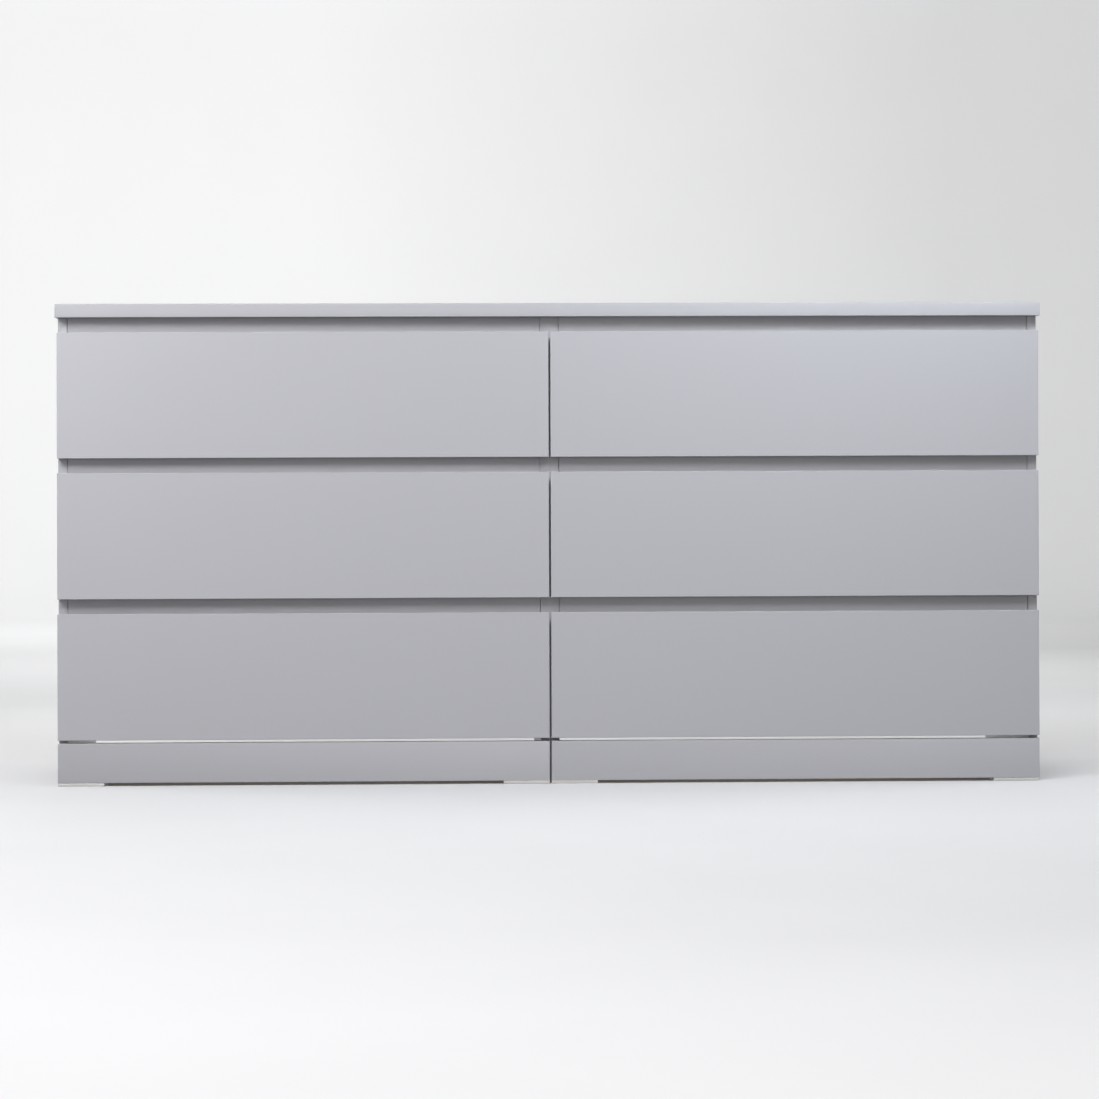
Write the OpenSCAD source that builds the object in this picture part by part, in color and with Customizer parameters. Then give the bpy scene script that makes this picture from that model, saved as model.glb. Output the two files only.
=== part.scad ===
// Double dresser with six drawers in three rows. The fronts have no handles: each has a thin lip
// along its top edge, bevelled behind, and fingers reach it through the gap above.
// The drawers run on steel channels with nylon rollers.
// Origin: on the floor under the middle of the top panel. X runs right, Y to the back, Z up.

/* [Overall size] */
// Width over the top panel
width = 1600; // [1200:10:2000]
// Depth over the top panel
depth = 480; // [390:5:600]
// Height from the floor to the top
height = 780; // [640:5:960]

/* [Boards] */
// Thickness of the top panel
top_t = 22; // [16:0.5:36]
// How far the top panel reaches past each side panel
top_overhang = 3; // [0:0.5:20]
// Thickness of a side panel
side_t = 15; // [15:0.5:25]
// Thickness of the partition between the two columns of drawers
partition_t = 30; // [26:1:50]
// Thickness of a front rail
rail_t = 18; // [15:0.5:25]
// How far a rail reaches behind the front above it and the front below it
rail_overlap = 12; // [8:1:20]
// Thickness of the back panel
back_t = 3; // [2.5:0.5:5]
// Width of the rebates that hold the back panel
rebate_w = 8; // [5:0.5:10]
// How far the back edges of the upright panels stay inside the top panel's back edge
rear_setback = 2; // [2:0.5:20]
// Height of the open space under the back panel, which clears a skirting board
skirting_h = 80; // [40:5:100]

/* [Plinth and foot pads] */
// Height of the plinth boards
plinth_h = 64; // [48:1:100]
// Thickness of the plinth boards
plinth_t = 18; // [15:0.5:19]
// Gap between a plinth and the fronts above it
plinth_gap = 5; // [3:0.5:10]
// Height of the foot pads
pad_h = 5; // [3:0.5:12]
// Length of a foot pad
pad_l = 75; // [50:1:110]
// How far a front foot pad reaches under its upright panel
pad_reach = 40; // [30:1:80]
// Diameter of the pegs on the foot pads
peg_d = 6; // [4:0.5:7]
// Height of the pegs on the foot pads
peg_h = 9; // [6:1:12]

/* [Drawer fronts] */
// Thickness of a drawer front
front_t = 18; // [16:0.5:25]
// Height of the finger gap above each front
grip_gap = 24; // [18:1:40]
// Gap between the left and the right fronts
centre_gap = 3; // [2:0.5:6]
// Space between the fronts and the edges of the upright panels
front_clear = 2; // [1:0.5:4]
// How far the fronts stay behind the top panel's front edge
front_setback = 3; // [1.5:0.5:20]
// Thickness of the lip along a front's top edge
lip_t = 4; // [3:0.5:8]

/* [Drawer boxes] */
// Thickness of a drawer's sides and back
box_t = 12; // [10:0.5:16]
// Thickness of a drawer's bottom
bottom_t = 4; // [3:0.5:6]
// Depth of the grooves that hold a drawer's bottom
groove_d = 5; // [3:0.5:6]
// Height of a drawer's bottom above the lower edges of its sides
bottom_lift = 11; // [8:1:20]
// Height of a drawer box above the lower edge of its front
box_lift = 22; // [22:1:30]
// Space between a drawer box and the rail above it
box_top_clear = 20; // [15:1:40]
// Space between a drawer box and the back panel
box_rear_clear = 14; // [5:1:40]

/* [Runners] */
// Space between a drawer box and the wall of its bay
side_space = 12.5; // [12.5:0.1:14]
// How much shorter than the drawer box a runner is
runner_short = 40; // [30:5:80]
// How far the runners still overlap when a drawer is fully open
runner_overlap = 100; // [80:5:160]
// Thickness of the runners' steel
steel_t = 1.2; // [1:0.1:1.4]
// Diameter of a roller
roller_d = 20; // [16:0.5:20]
// Width of a roller
roller_w = 8; // [7:0.1:8]
// Diameter of a roller's pin
pin_d = 5; // [4:0.5:6]

/* [Fittings] */
// Diameter of a cam
cam_d = 15; // [12:0.5:16]
// Depth of a cam in its board
cam_depth = 12.5; // [11:0.5:12.5]
// Distance from the joint to the middle of its cam
cam_reach = 24; // [20:1:34]
// Diameter of the bolt that a cam pulls on
bolt_d = 6; // [5:0.5:7]
// Diameter of a wooden dowel
dowel_d = 8; // [6:0.5:8]
// Diameter of the wall fixing hole in a bracket
wall_hole_d = 6; // [4:0.5:8]

/* [Hidden] */
$fn = 48;
over = 1;              // how far a cut runs past the face it opens through
ROW_NAMES = ["top", "middle", "bottom"];
COLUMN_NAMES = ["left", "right"];
rows = len(ROW_NAMES);

// Clearances
running_clear = 0.08;  // between a pin and its roller, on the radius
fitting_clear = 0.1;   // round cams, bolts, dowels and pegs, on the radius
groove_clear = 0.2;    // above a drawer's bottom in its grooves
end_clear = 0.5;       // past the edge of a panel that sits in a groove or a rebate
roll_clear = 0.3;      // between a roller and the steel that it runs along
stop_clear = 0.5;      // between a fully open drawer's roller and its stop

// Planes of the carcass
carcass_w = width - 2 * top_overhang;
inner_w = carcass_w - 2 * side_t;
bay_w = (inner_w - partition_t) / 2;
front_face_y = -depth / 2 + front_setback;
front_back_y = front_face_y + front_t;
carcass_y = front_back_y + front_clear;
rear_y = depth / 2 - rear_setback;
back_y = rear_y - back_t;
top_z = height - top_t;
plinth_top_z = pad_h + plinth_h;

// Drawer fronts
front_w = (carcass_w - centre_gap) / 2;
first_front_z = plinth_top_z + plinth_gap;
front_h = (top_z - first_front_z) / rows - grip_gap;
pitch = front_h + grip_gap;

// Drawer boxes, whose lower edges are at the local height 0
box_w = bay_w - 2 * side_space;
box_inner_w = box_w - 2 * box_t;
box_h = front_h - rail_overlap - box_top_clear - box_lift;
box_end_y = back_y - box_rear_clear;
box_l = box_end_y - front_back_y;
box_back_y = box_end_y - box_t;

// Runners: u is the distance from the wall of the bay, heights are from the drawer box's lower edge
runner_l = box_l - runner_short;
travel = runner_l - runner_overlap;
roller_inset = 12;     // from the end of a runner to the middle of its roller
cabinet_y = carcass_y + 2;
drawer_runner_y = front_back_y + 0.5;
front_roller_y = cabinet_y + roller_inset;
rear_roller_y = drawer_runner_y + runner_l - roller_inset;
roller_r = roller_d / 2;
roller_chamfer = 0.8;
front_roller_z = 8;
rear_roller_z = front_roller_z - 1.5;
lift_gap = 0.8;        // between a rear roller and the upper flange
flange_gap = 0.6;      // between the upper flange and the drawer's runway beside it
web_gap = 0.8;         // between a front roller and the web that it is pinned to
leg_gap = 1.1;         // between a rear roller and the leg that it is pinned to
flange_notch = 3;      // between a front roller and the start of the upper flange
track_z = rear_roller_z - roller_r - roll_clear;
runway_z = front_roller_z + roller_r + roll_clear;
cabinet_flange = 10.6;
upper_flange = 5;
upper_flange_z = rear_roller_z + roller_r + lift_gap;
drawer_leg_u = side_space - steel_t;
runway_u = upper_flange + flange_gap;
front_roller_u = steel_t + web_gap;
rear_roller_u = drawer_leg_u - leg_gap - roller_w;
pin_head_d = pin_d + 3;
pin_head_t = 1;
pin_head_sink = 0.4;   // from a roller's face to its pin's head
counterbore_d = pin_head_d + 1;
counterbore_t = 1.7;
stop_h = 12;
stop_w = cabinet_flange - flange_gap;
stop_y = rear_roller_y - travel - roller_r - stop_clear;
screw_d = 4.4;
screw_head_d = 7.6;
cabinet_screw_ys = [front_roller_y + 34, cabinet_y + runner_l / 2, cabinet_y + runner_l - 45];
drawer_screw_ys = [
    drawer_runner_y + 40, drawer_runner_y + runner_l / 2, drawer_runner_y + runner_l - 50
];

// Fittings
fit_inset = 7.5;       // from a board's face to the axis of the bolts and dowels in its end
cam_recess = 0.3;      // how far a cam sits below its board's face
cam_slot_d = bolt_d + 1.4;
bolt_bite = 10;        // how deep a bolt or a dowel sits in the face of the other board
bolt_past = 2;         // how far a bolt reaches past the middle of its cam
thread_d = bolt_d - 1;
dowel_l = 30;
rail_cam_drop = 8;     // below the middle of a rail
rail_dowel_rise = 10;  // above the middle of a rail
top_cam_y = 150;
top_dowel_y = 90;
plinth_dowel_in = 16;  // from a plinth's lower and upper edges

// Wall brackets
bracket_w = 40;
bracket_t = 2;
bracket_h = 32;
bracket_l = 40;
bracket_hole_z = top_z - 18;
bracket_screw_y = rear_y - 26;
notch_clear = 1;

DRAWERS = [
    for (row = [0:rows - 1]) for (column = [0:1])
        [str(ROW_NAMES[row], "_", COLUMN_NAMES[column]), row, column]
];
DRAWER_NODES = [
    "front", "left_side", "right_side", "back", "bottom", "runners", "rear_rollers", "front_rollers"
];
CARCASS_NODES = [
    "top_panel", "left_side_panel", "right_side_panel", "partition", "front_rails", "back_panel",
    "left_plinth", "right_plinth", "foot_pads", "cabinet_runners", "joint_fittings", "wall_brackets"
];

LACQUER = [0.72, 0.73, 0.76];
FOIL = [0.90, 0.90, 0.89];
HARDBOARD = [0.55, 0.42, 0.30];
STEEL = [0.80, 0.81, 0.82];
ZINC = [0.66, 0.67, 0.69];
NYLON = [0.93, 0.93, 0.91];
BEECH = [0.83, 0.69, 0.50];

function bay_x(column) = (column - 0.5) * (bay_w + partition_t);
function front_z(row) = first_front_z + (rows - 1 - row) * pitch;
function rail_z(level) = level == 0 ? top_z - grip_gap - rail_overlap
                                    : front_z(level - 1) - grip_gap - rail_overlap;
function rail_h(level) = grip_gap + (level == 0 ? 1 : 2) * rail_overlap;

// A block between two opposite corners
module block(from, to) {
    translate(from) cube(to - from);
}

// Its children, and again mirrored left to right
module both_sides() {
    children();
    mirror([1, 0, 0]) children();
}

// An outline in Y and Z, extruded along X from the middle
module along_x(length) {
    translate([-length / 2, 0, 0]) rotate([90, 0, 90]) linear_extrude(length) children();
}

// A round bar along X
module bar_x(from, to, d) {
    translate([from, 0, 0]) rotate([0, 90, 0]) cylinder(h = to - from, d = d);
}

// ---- Fittings. Each is drawn with the joint at the origin: +Z runs into the end of one board,
// -Z into the face of the other, and X points at the face that the cam is dropped in from.

module cam() {
    difference() {
        translate([0, 0, cam_reach]) bar_x(fit_inset - cam_depth, fit_inset - cam_recess, cam_d);
        translate([0, 0, cam_reach - cam_d]) cylinder(h = cam_d + bolt_d, d = cam_slot_d);
    }
}

module bolt() {
    cylinder(h = cam_reach + bolt_past, d = bolt_d);
    translate([0, 0, -bolt_bite]) cylinder(h = bolt_bite + over, d = thread_d);
}

module dowel() {
    translate([0, 0, -bolt_bite]) cylinder(h = dowel_l, d = dowel_d);
}

module cam_cut() {
    translate([0, 0, cam_reach])
        bar_x(fit_inset - cam_depth, fit_inset + over, cam_d + 2 * fitting_clear);
    translate([0, 0, -over])
        cylinder(h = cam_reach + over + bolt_d, d = bolt_d + 2 * fitting_clear);
}

module bolt_cut() {
    translate([0, 0, -bolt_bite - end_clear])
        cylinder(h = bolt_bite + end_clear + over, d = thread_d + 2 * fitting_clear);
}

module dowel_cut() {
    translate([0, 0, -bolt_bite - end_clear])
        cylinder(h = dowel_l + 2 * end_clear, d = dowel_d + 2 * fitting_clear);
}

// Places its children at the ends of the rails, with a cam's height or a dowel's
module at_rail_ends(rise) {
    for (column = [0:1]) for (level = [0:rows - 1]) for (side = [0:1])
        translate([bay_x(column), carcass_y + rail_t - fit_inset,
                   rail_z(level) + rail_h(level) / 2 + rise])
            mirror([side, 0, 0]) translate([-bay_w / 2, 0, 0])
                rotate([0, 90, 0]) rotate([0, 0, 90]) children();
}

// Places its children on the upper ends of the upright panels
module at_top_ends(y) {
    both_sides() translate([-inner_w / 2 - fit_inset, 0, top_z])
        for (side = [-1, 1]) translate([0, side * y, 0]) mirror([0, 0, 1]) children();
    for (side = [-1, 1]) translate([0, side * y, top_z])
        mirror([side > 0 ? 1 : 0, 0, 0]) translate([partition_t / 2 - fit_inset, 0, 0])
            mirror([0, 0, 1]) children();
}

// Places its children on the front edges of the upright panels, behind the plinths
module at_plinth_joints() {
    for (x = [inner_w / 2 + fit_inset, (partition_t + centre_gap) / 4])
        for (z = [pad_h + plinth_dowel_in, plinth_top_z - plinth_dowel_in])
            both_sides() translate([x, carcass_y, z]) rotate([-90, 0, 0]) children();
}

// Places its children at the pegs of the foot pads
module at_pegs() {
    middle_x = (partition_t + centre_gap) / 4;
    both_sides() {
        for (x = [inner_w / 2 + side_t / 2, middle_x])
            translate([x, carcass_y + pad_reach - peg_d * 2, pad_h]) children();
        for (x = [carcass_w / 2 - pad_l / 2, centre_gap / 2 + pad_l / 2])
            translate([x, carcass_y - plinth_t / 2, pad_h]) children();
        translate([inner_w / 2 + side_t / 2, rear_y - pad_l / 2, pad_h]) children();
    }
    translate([0, rear_y - pad_l / 2, pad_h]) children();
}

module peg_cuts() {
    at_pegs() translate([0, 0, -over])
        cylinder(h = peg_h + end_clear + over, d = peg_d + 2 * fitting_clear);
}

module joint_cuts() {
    at_rail_ends(-rail_cam_drop) {
        cam_cut();
        bolt_cut();
    }
    at_rail_ends(rail_dowel_rise) dowel_cut();
    at_top_ends(top_cam_y) {
        cam_cut();
        bolt_cut();
    }
    at_top_ends(top_dowel_y) dowel_cut();
    at_plinth_joints() dowel_cut();
    peg_cuts();
}

// ---- Carcass

module top_panel() {
    color(LACQUER) difference() {
        block([-width / 2, -depth / 2, top_z], [width / 2, depth / 2, height]);
        at_top_ends(top_cam_y) bolt_cut();
        at_top_ends(top_dowel_y) dowel_cut();
    }
}

module side_panel(side) {
    color(LACQUER) difference() {
        mirror([side > 0 ? 1 : 0, 0, 0]) difference() {
            block([-carcass_w / 2, carcass_y, pad_h], [-inner_w / 2, rear_y, top_z]);
            block([-inner_w / 2 - rebate_w, back_y, pad_h - over],
                  [-inner_w / 2 + over, rear_y + over, top_z + over]);
        }
        joint_cuts();
    }
}

module left_side_panel() {
    side_panel(-1);
}

module right_side_panel() {
    side_panel(1);
}

module partition() {
    color(LACQUER) difference() {
        block([-partition_t / 2, carcass_y, pad_h], [partition_t / 2, back_y, top_z]);
        joint_cuts();
    }
}

module front_rails() {
    color(LACQUER) difference() {
        for (column = [0:1]) for (level = [0:rows - 1])
            translate([bay_x(column), carcass_y, rail_z(level)])
                block([-bay_w / 2, 0, 0], [bay_w / 2, rail_t, rail_h(level)]);
        at_rail_ends(-rail_cam_drop) cam_cut();
        at_rail_ends(rail_dowel_rise) dowel_cut();
    }
}

module back_panel() {
    half_w = inner_w / 2 + rebate_w - end_clear;
    color(HARDBOARD) difference() {
        block([-half_w, back_y, skirting_h], [half_w, rear_y, top_z]);
        for (column = [0:1]) translate([bay_x(column), 0, 0])
            block([-bracket_w / 2 - notch_clear, back_y - over, top_z - bracket_h - notch_clear],
                  [bracket_w / 2 + notch_clear, rear_y + over, top_z + over]);
    }
}

module plinth(side) {
    color(LACQUER) difference() {
        mirror([side > 0 ? 1 : 0, 0, 0])
            block([-carcass_w / 2, carcass_y - plinth_t, pad_h],
                  [-centre_gap / 2, carcass_y, plinth_top_z]);
        at_plinth_joints() dowel_cut();
        peg_cuts();
    }
}

module left_plinth() {
    plinth(-1);
}

module right_plinth() {
    plinth(1);
}

module foot_pads() {
    color(NYLON) {
        both_sides() {
            for (x = [carcass_w / 2 - pad_l, centre_gap / 2])
                block([x, carcass_y - plinth_t, 0], [x + pad_l, carcass_y + pad_reach, pad_h]);
            block([inner_w / 2, rear_y - pad_l, 0], [carcass_w / 2, rear_y - rear_setback, pad_h]);
        }
        block([-partition_t / 2, rear_y - pad_l, 0], [partition_t / 2, back_y, pad_h]);
        at_pegs() cylinder(h = peg_h, d = peg_d);
    }
}

// ---- Runners, drawn for the left wall of a bay: that wall is at x = 0

module roller(u) {
    rotate([0, 90, 0]) rotate_extrude() polygon([
        [pin_d / 2 + running_clear, u + counterbore_t],
        [counterbore_d / 2, u + counterbore_t],
        [counterbore_d / 2, u],
        [roller_r - roller_chamfer, u],
        [roller_r, u + roller_chamfer],
        [roller_r, u + roller_w - roller_chamfer],
        [roller_r - roller_chamfer, u + roller_w],
        [pin_d / 2 + running_clear, u + roller_w]
    ]);
}

// A roller's pin from its root in the steel to its head, which sits in the roller's counterbore
module roller_pin(root, shoulder, head) {
    bar_x(min(root, head), max(root, head), pin_d);
    bar_x(min(root, shoulder), max(root, shoulder), pin_head_d);
    bar_x(min(head, head + (root > head ? 1 : -1) * pin_head_t),
          max(head, head + (root > head ? 1 : -1) * pin_head_t), pin_head_d);
}

module cabinet_runner() {
    bottom = track_z - steel_t;
    upper = upper_flange_z + steel_t;
    upper_y = front_roller_y + roller_r + flange_notch;
    difference() {
        union() {
            block([0, cabinet_y, bottom], [steel_t, cabinet_y + runner_l, upper]);
            block([0, cabinet_y, bottom], [cabinet_flange, cabinet_y + runner_l, track_z]);
            block([0, upper_y, upper_flange_z], [upper_flange, cabinet_y + runner_l, upper]);
            block([0, stop_y - steel_t, bottom], [stop_w, stop_y, track_z + stop_h]);
        }
        for (y = cabinet_screw_ys)
            translate([0, y, front_roller_z]) rotate([0, 90, 0]) {
                translate([0, 0, -over]) cylinder(h = steel_t + 2 * over, d = screw_d);
                cylinder(h = steel_t, d1 = screw_d, d2 = screw_head_d);
            }
    }
    translate([0, front_roller_y, front_roller_z])
        roller_pin(0, front_roller_u - roll_clear, front_roller_u + roller_w - pin_head_sink);
}

module drawer_runner() {
    lower = -steel_t;
    upper = runway_z + steel_t;
    side_u = side_space + box_t;
    end_y = drawer_runner_y + runner_l;
    difference() {
        union() {
            block([drawer_leg_u, drawer_runner_y, lower], [side_space, end_y, upper]);
            block([drawer_leg_u, drawer_runner_y, lower], [side_u, end_y, 0]);
            block([runway_u, drawer_runner_y, runway_z], [side_space, end_y, upper]);
        }
        for (y = drawer_screw_ys)
            translate([side_space + box_t / 2, y, -steel_t - over])
                cylinder(h = steel_t + 2 * over, d = screw_d);
    }
    translate([0, rear_roller_y, rear_roller_z])
        roller_pin(side_space, rear_roller_u + roller_w + roll_clear, rear_roller_u + pin_head_sink);
}

// Places its children at both walls of a bay, at the height of a drawer box's lower edge
module at_bay_walls(row, column) {
    translate([bay_x(column), 0, front_z(row) + box_lift])
        both_sides() translate([-bay_w / 2, 0, 0]) children();
}

module cabinet_runners() {
    color(STEEL) for (d = DRAWERS) at_bay_walls(d[1], d[2]) cabinet_runner();
}

module front_rollers(row, column) {
    color(NYLON) at_bay_walls(row, column)
        translate([0, front_roller_y, front_roller_z])
            translate([2 * front_roller_u + roller_w, 0, 0]) mirror([1, 0, 0])
                roller(front_roller_u);
}

module rear_rollers(row, column) {
    color(NYLON) at_bay_walls(row, column)
        translate([0, rear_roller_y, rear_roller_z]) roller(rear_roller_u);
}

module runners(row, column) {
    color(STEEL) at_bay_walls(row, column) drawer_runner();
}

// ---- Drawers

// Places its children at a drawer box's lower edges, in the middle of its bay
module at_drawer(row, column) {
    translate([bay_x(column), 0, front_z(row) + box_lift]) children();
}

// The space that a drawer's bottom takes in the grooves of the boards round it
module groove_cut() {
    half_w = box_inner_w / 2 + groove_d;
    block([-half_w, front_back_y - groove_d, bottom_lift],
          [half_w, box_back_y + groove_d, bottom_lift + bottom_t + groove_clear]);
}

module drawer_front(row, column) {
    bevel = front_t - lip_t;
    middle_x = (column - 0.5) * (front_w + centre_gap);
    color(LACQUER) difference() {
        translate([middle_x, 0, front_z(row)]) along_x(front_w) polygon([
            [front_face_y, 0],
            [front_back_y, 0],
            [front_back_y, front_h - bevel],
            [front_face_y + lip_t, front_h],
            [front_face_y, front_h]
        ]);
        at_drawer(row, column) groove_cut();
    }
}

module drawer_side(row, column, side) {
    color(FOIL) at_drawer(row, column) difference() {
        mirror([side > 0 ? 1 : 0, 0, 0])
            block([-box_w / 2, front_back_y, 0], [-box_inner_w / 2, box_end_y, box_h]);
        groove_cut();
    }
}

module drawer_back(row, column) {
    color(FOIL) at_drawer(row, column) difference() {
        block([-box_inner_w / 2, box_back_y, 0], [box_inner_w / 2, box_end_y, box_h]);
        groove_cut();
    }
}

module drawer_bottom(row, column) {
    half_w = box_inner_w / 2 + groove_d - end_clear;
    color(FOIL) at_drawer(row, column)
        block([-half_w, front_back_y - groove_d + end_clear, bottom_lift],
              [half_w, box_back_y + groove_d - end_clear, bottom_lift + bottom_t]);
}

// ---- Fittings in place

module joint_fittings() {
    color(ZINC) {
        at_rail_ends(-rail_cam_drop) {
            cam();
            bolt();
        }
        at_top_ends(top_cam_y) {
            cam();
            bolt();
        }
    }
    color(BEECH) {
        at_rail_ends(rail_dowel_rise) dowel();
        at_top_ends(top_dowel_y) dowel();
        at_plinth_joints() dowel();
    }
}

module wall_bracket() {
    difference() {
        union() {
            block([-bracket_w / 2, rear_y - bracket_t, top_z - bracket_h],
                  [bracket_w / 2, rear_y, top_z]);
            block([-bracket_w / 2, rear_y - bracket_l, top_z - bracket_t],
                  [bracket_w / 2, rear_y, top_z]);
        }
        translate([0, rear_y - bracket_t - over, bracket_hole_z])
            rotate([-90, 0, 0]) cylinder(h = bracket_t + 2 * over, d = wall_hole_d);
        for (side = [-1, 1])
            translate([side * bracket_w / 4, bracket_screw_y, top_z - bracket_t - over])
                cylinder(h = bracket_t + 2 * over, d = screw_d);
    }
}

module wall_brackets() {
    color(ZINC) for (column = [0:1]) translate([bay_x(column), 0, 0]) wall_bracket();
}

// ---- Assembly

top_panel();
left_side_panel();
right_side_panel();
partition();
front_rails();
back_panel();
left_plinth();
right_plinth();
foot_pads();
cabinet_runners();
joint_fittings();
wall_brackets();
for (d = DRAWERS) {
    drawer_front(d[1], d[2]);
    drawer_side(d[1], d[2], -1);
    drawer_side(d[1], d[2], 1);
    drawer_back(d[1], d[2]);
    drawer_bottom(d[1], d[2]);
    runners(d[1], d[2]);
    rear_rollers(d[1], d[2]);
    front_rollers(d[1], d[2]);
}
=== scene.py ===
# %% [markdown]
# # A double dresser, dressed for its portrait
#
# The dresser is flat-pack furniture: lacquered boards, six drawers on roller runners, and the cams, dowels
# and screws that hold it together. Its engineering model is already packed, with every board, runner and
# roller in its true place. This lesson gives each of those pieces the skin that the real one has: soft
# edges, satin lacquer, raw chipboard where nobody looks, powder-coated steel and zinc.
#
# Nothing is moved or resized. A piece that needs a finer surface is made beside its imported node, in the
# same place, and then stands for it.

import math

import bmesh
import bpy
from mathutils import Matrix, Vector


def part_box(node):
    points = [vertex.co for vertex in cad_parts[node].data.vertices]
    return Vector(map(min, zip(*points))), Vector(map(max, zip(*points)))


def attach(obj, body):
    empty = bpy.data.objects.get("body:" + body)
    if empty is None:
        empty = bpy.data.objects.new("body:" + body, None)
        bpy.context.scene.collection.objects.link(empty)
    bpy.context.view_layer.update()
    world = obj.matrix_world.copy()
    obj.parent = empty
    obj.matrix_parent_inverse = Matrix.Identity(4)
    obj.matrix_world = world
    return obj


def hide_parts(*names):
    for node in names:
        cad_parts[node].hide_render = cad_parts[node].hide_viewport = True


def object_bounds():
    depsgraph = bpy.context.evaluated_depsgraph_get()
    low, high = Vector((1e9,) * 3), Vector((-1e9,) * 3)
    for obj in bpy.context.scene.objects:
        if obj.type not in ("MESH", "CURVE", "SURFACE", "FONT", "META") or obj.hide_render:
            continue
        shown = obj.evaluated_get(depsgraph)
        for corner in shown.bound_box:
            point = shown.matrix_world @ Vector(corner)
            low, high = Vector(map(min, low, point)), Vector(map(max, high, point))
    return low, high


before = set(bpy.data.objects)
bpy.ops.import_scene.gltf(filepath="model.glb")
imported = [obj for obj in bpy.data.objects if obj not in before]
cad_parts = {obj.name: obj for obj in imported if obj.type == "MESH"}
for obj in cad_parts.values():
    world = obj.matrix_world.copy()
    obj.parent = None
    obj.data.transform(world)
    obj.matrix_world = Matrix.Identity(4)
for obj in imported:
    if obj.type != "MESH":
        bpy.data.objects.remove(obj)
cad_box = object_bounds()
MM = 0.001
print("The dresser measures", [round(side, 3) for side in cad_box[1] - cad_box[0]], "metres")

# %% [markdown]
# ## Rows and columns
#
# The drawers sit in three rows and two columns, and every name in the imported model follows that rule:
# `top_left_front`, `bottom_right_runners` and so on. One list of the six prefixes saves writing anything
# six times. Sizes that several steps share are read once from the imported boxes.

# %% Name the drawers and read shared sizes
ROWS = ("top", "middle", "bottom")
COLUMNS = ("left", "right")
DRAWERS = [f"{row}_{column}" for row in ROWS for column in COLUMNS]
CARCASS = "carcass"


def drawer_body(drawer):
    return f"{drawer}_drawer"


def size_of(node):
    low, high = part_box(node)
    return high - low


def middle_of(node):
    low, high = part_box(node)
    return (low + high) / 2


front_face_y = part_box("top_left_front")[0].y
floor_z = cad_box[0].z
print("A drawer front is", [round(side * 1000, 1) for side in size_of("top_left_front")], "mm")

# %% [markdown]
# ## The camera
#
# A long lens a few metres away keeps the dresser's verticals upright and its rows almost level. The camera
# stands a little left of the middle and is turned back towards it by under two degrees, which is why the
# right side of the dresser looks a touch smaller. A small shift of the film centres the dresser without
# tilting the lens, as is usual for buildings.

# %% Place the camera
CAMERA_LEFT = 0.1725          # from the dresser's middle
CAMERA_HEIGHT = 0.473
CAMERA_DISTANCE = 5.615       # from the drawer fronts
CAMERA_TURN = math.radians(-1.754)
CAMERA_TILT = math.radians(0.322)
CAMERA_ROLL = math.radians(0.213)
LENS_MM = 113.38
SENSOR_MM = 36
FILM_SHIFT = -0.07            # in sensor widths

camera = bpy.data.objects.new("camera", bpy.data.cameras.new("camera"))
bpy.context.scene.collection.objects.link(camera)
bpy.context.scene.camera = camera
camera.location = (-CAMERA_LEFT, front_face_y - CAMERA_DISTANCE, CAMERA_HEIGHT)
camera.rotation_euler = (math.pi / 2 + CAMERA_TILT, CAMERA_ROLL, CAMERA_TURN)
camera.data.sensor_width = SENSOR_MM
camera.data.lens = LENS_MM
camera.data.shift_y = FILM_SHIFT
print("The camera looks from", [round(c, 2) for c in camera.location])

# %% [markdown]
# ## Building node trees without noise
#
# Shader trees and geometry trees are built the same way: make a node, set its options, then give each
# input either a number or another node's output. One helper does all three, so that each finish below
# reads like a recipe. An input may be named by its label or by its place in the list, because some nodes
# have several inputs with one label.

# %% A helper for nodes
def add(tree, kind, inputs=None, **options):
    node = tree.nodes.new(kind)
    for option, value in options.items():
        setattr(node, option, value)
    for key, value in (inputs or {}).items():
        if isinstance(value, bpy.types.NodeSocket):
            tree.links.new(value, node.inputs[key])
        else:
            node.inputs[key].default_value = value
    return node


def new_finish(name, **shader_inputs):
    """A new material, its node tree and its shader. Numbers that hold all over are set on the shader."""
    material = bpy.data.materials.new(name)
    material.use_nodes = True
    tree = material.node_tree
    shader = tree.nodes["Principled BSDF"]
    for key, value in shader_inputs.items():
        shader.inputs[key.replace("_", " ")].default_value = value
    return material, tree, shader


# %% [markdown]
# ## Patterns that the finishes share
#
# Paint, foil, plastic and steel all differ in the same three ways: a colour that drifts a little, a
# roughness that drifts with it, and a surface that isn't quite flat. So a few small functions make those
# from noise. They read Object coordinates, which are metres here, so a scale of 200 means a pattern that
# repeats about every 5 mm, and the pattern stays on its piece when a drawer opens.

# %% Helpers for drifting colour, drifting roughness and relief
def places(tree, stretch=(1, 1, 1)):
    """Where each point is on its own object, in metres, squeezed or stretched along X, Y and Z."""
    coordinates = add(tree, "ShaderNodeTexCoord")
    mapping = add(tree, "ShaderNodeMapping", {"Vector": coordinates.outputs["Object"], "Scale": stretch})
    return mapping.outputs[0]


def noise(tree, where, scale, detail=2.0, roughness=0.5):
    node = add(tree, "ShaderNodeTexNoise",
               {"Vector": where, "Scale": scale, "Detail": detail, "Roughness": roughness})
    return node.outputs["Fac"]


def spread(tree, value, low, high, start=0.3, end=0.7):
    """Takes a noise that mostly lies between start and end to the range from low to high."""
    node = add(tree, "ShaderNodeMapRange", {
        "Value": value, "From Min": start, "From Max": end, "To Min": low, "To Max": high,
    })
    return node.outputs["Result"]


def blend_colours(tree, share, first, second):
    node = add(tree, "ShaderNodeMix", {"Factor": share}, data_type="RGBA")
    for place, colour in ((6, first), (7, second)):
        if isinstance(colour, bpy.types.NodeSocket):
            tree.links.new(colour, node.inputs[place])
        else:
            node.inputs[place].default_value = (*colour, 1)
    return node.outputs[2]


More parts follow.
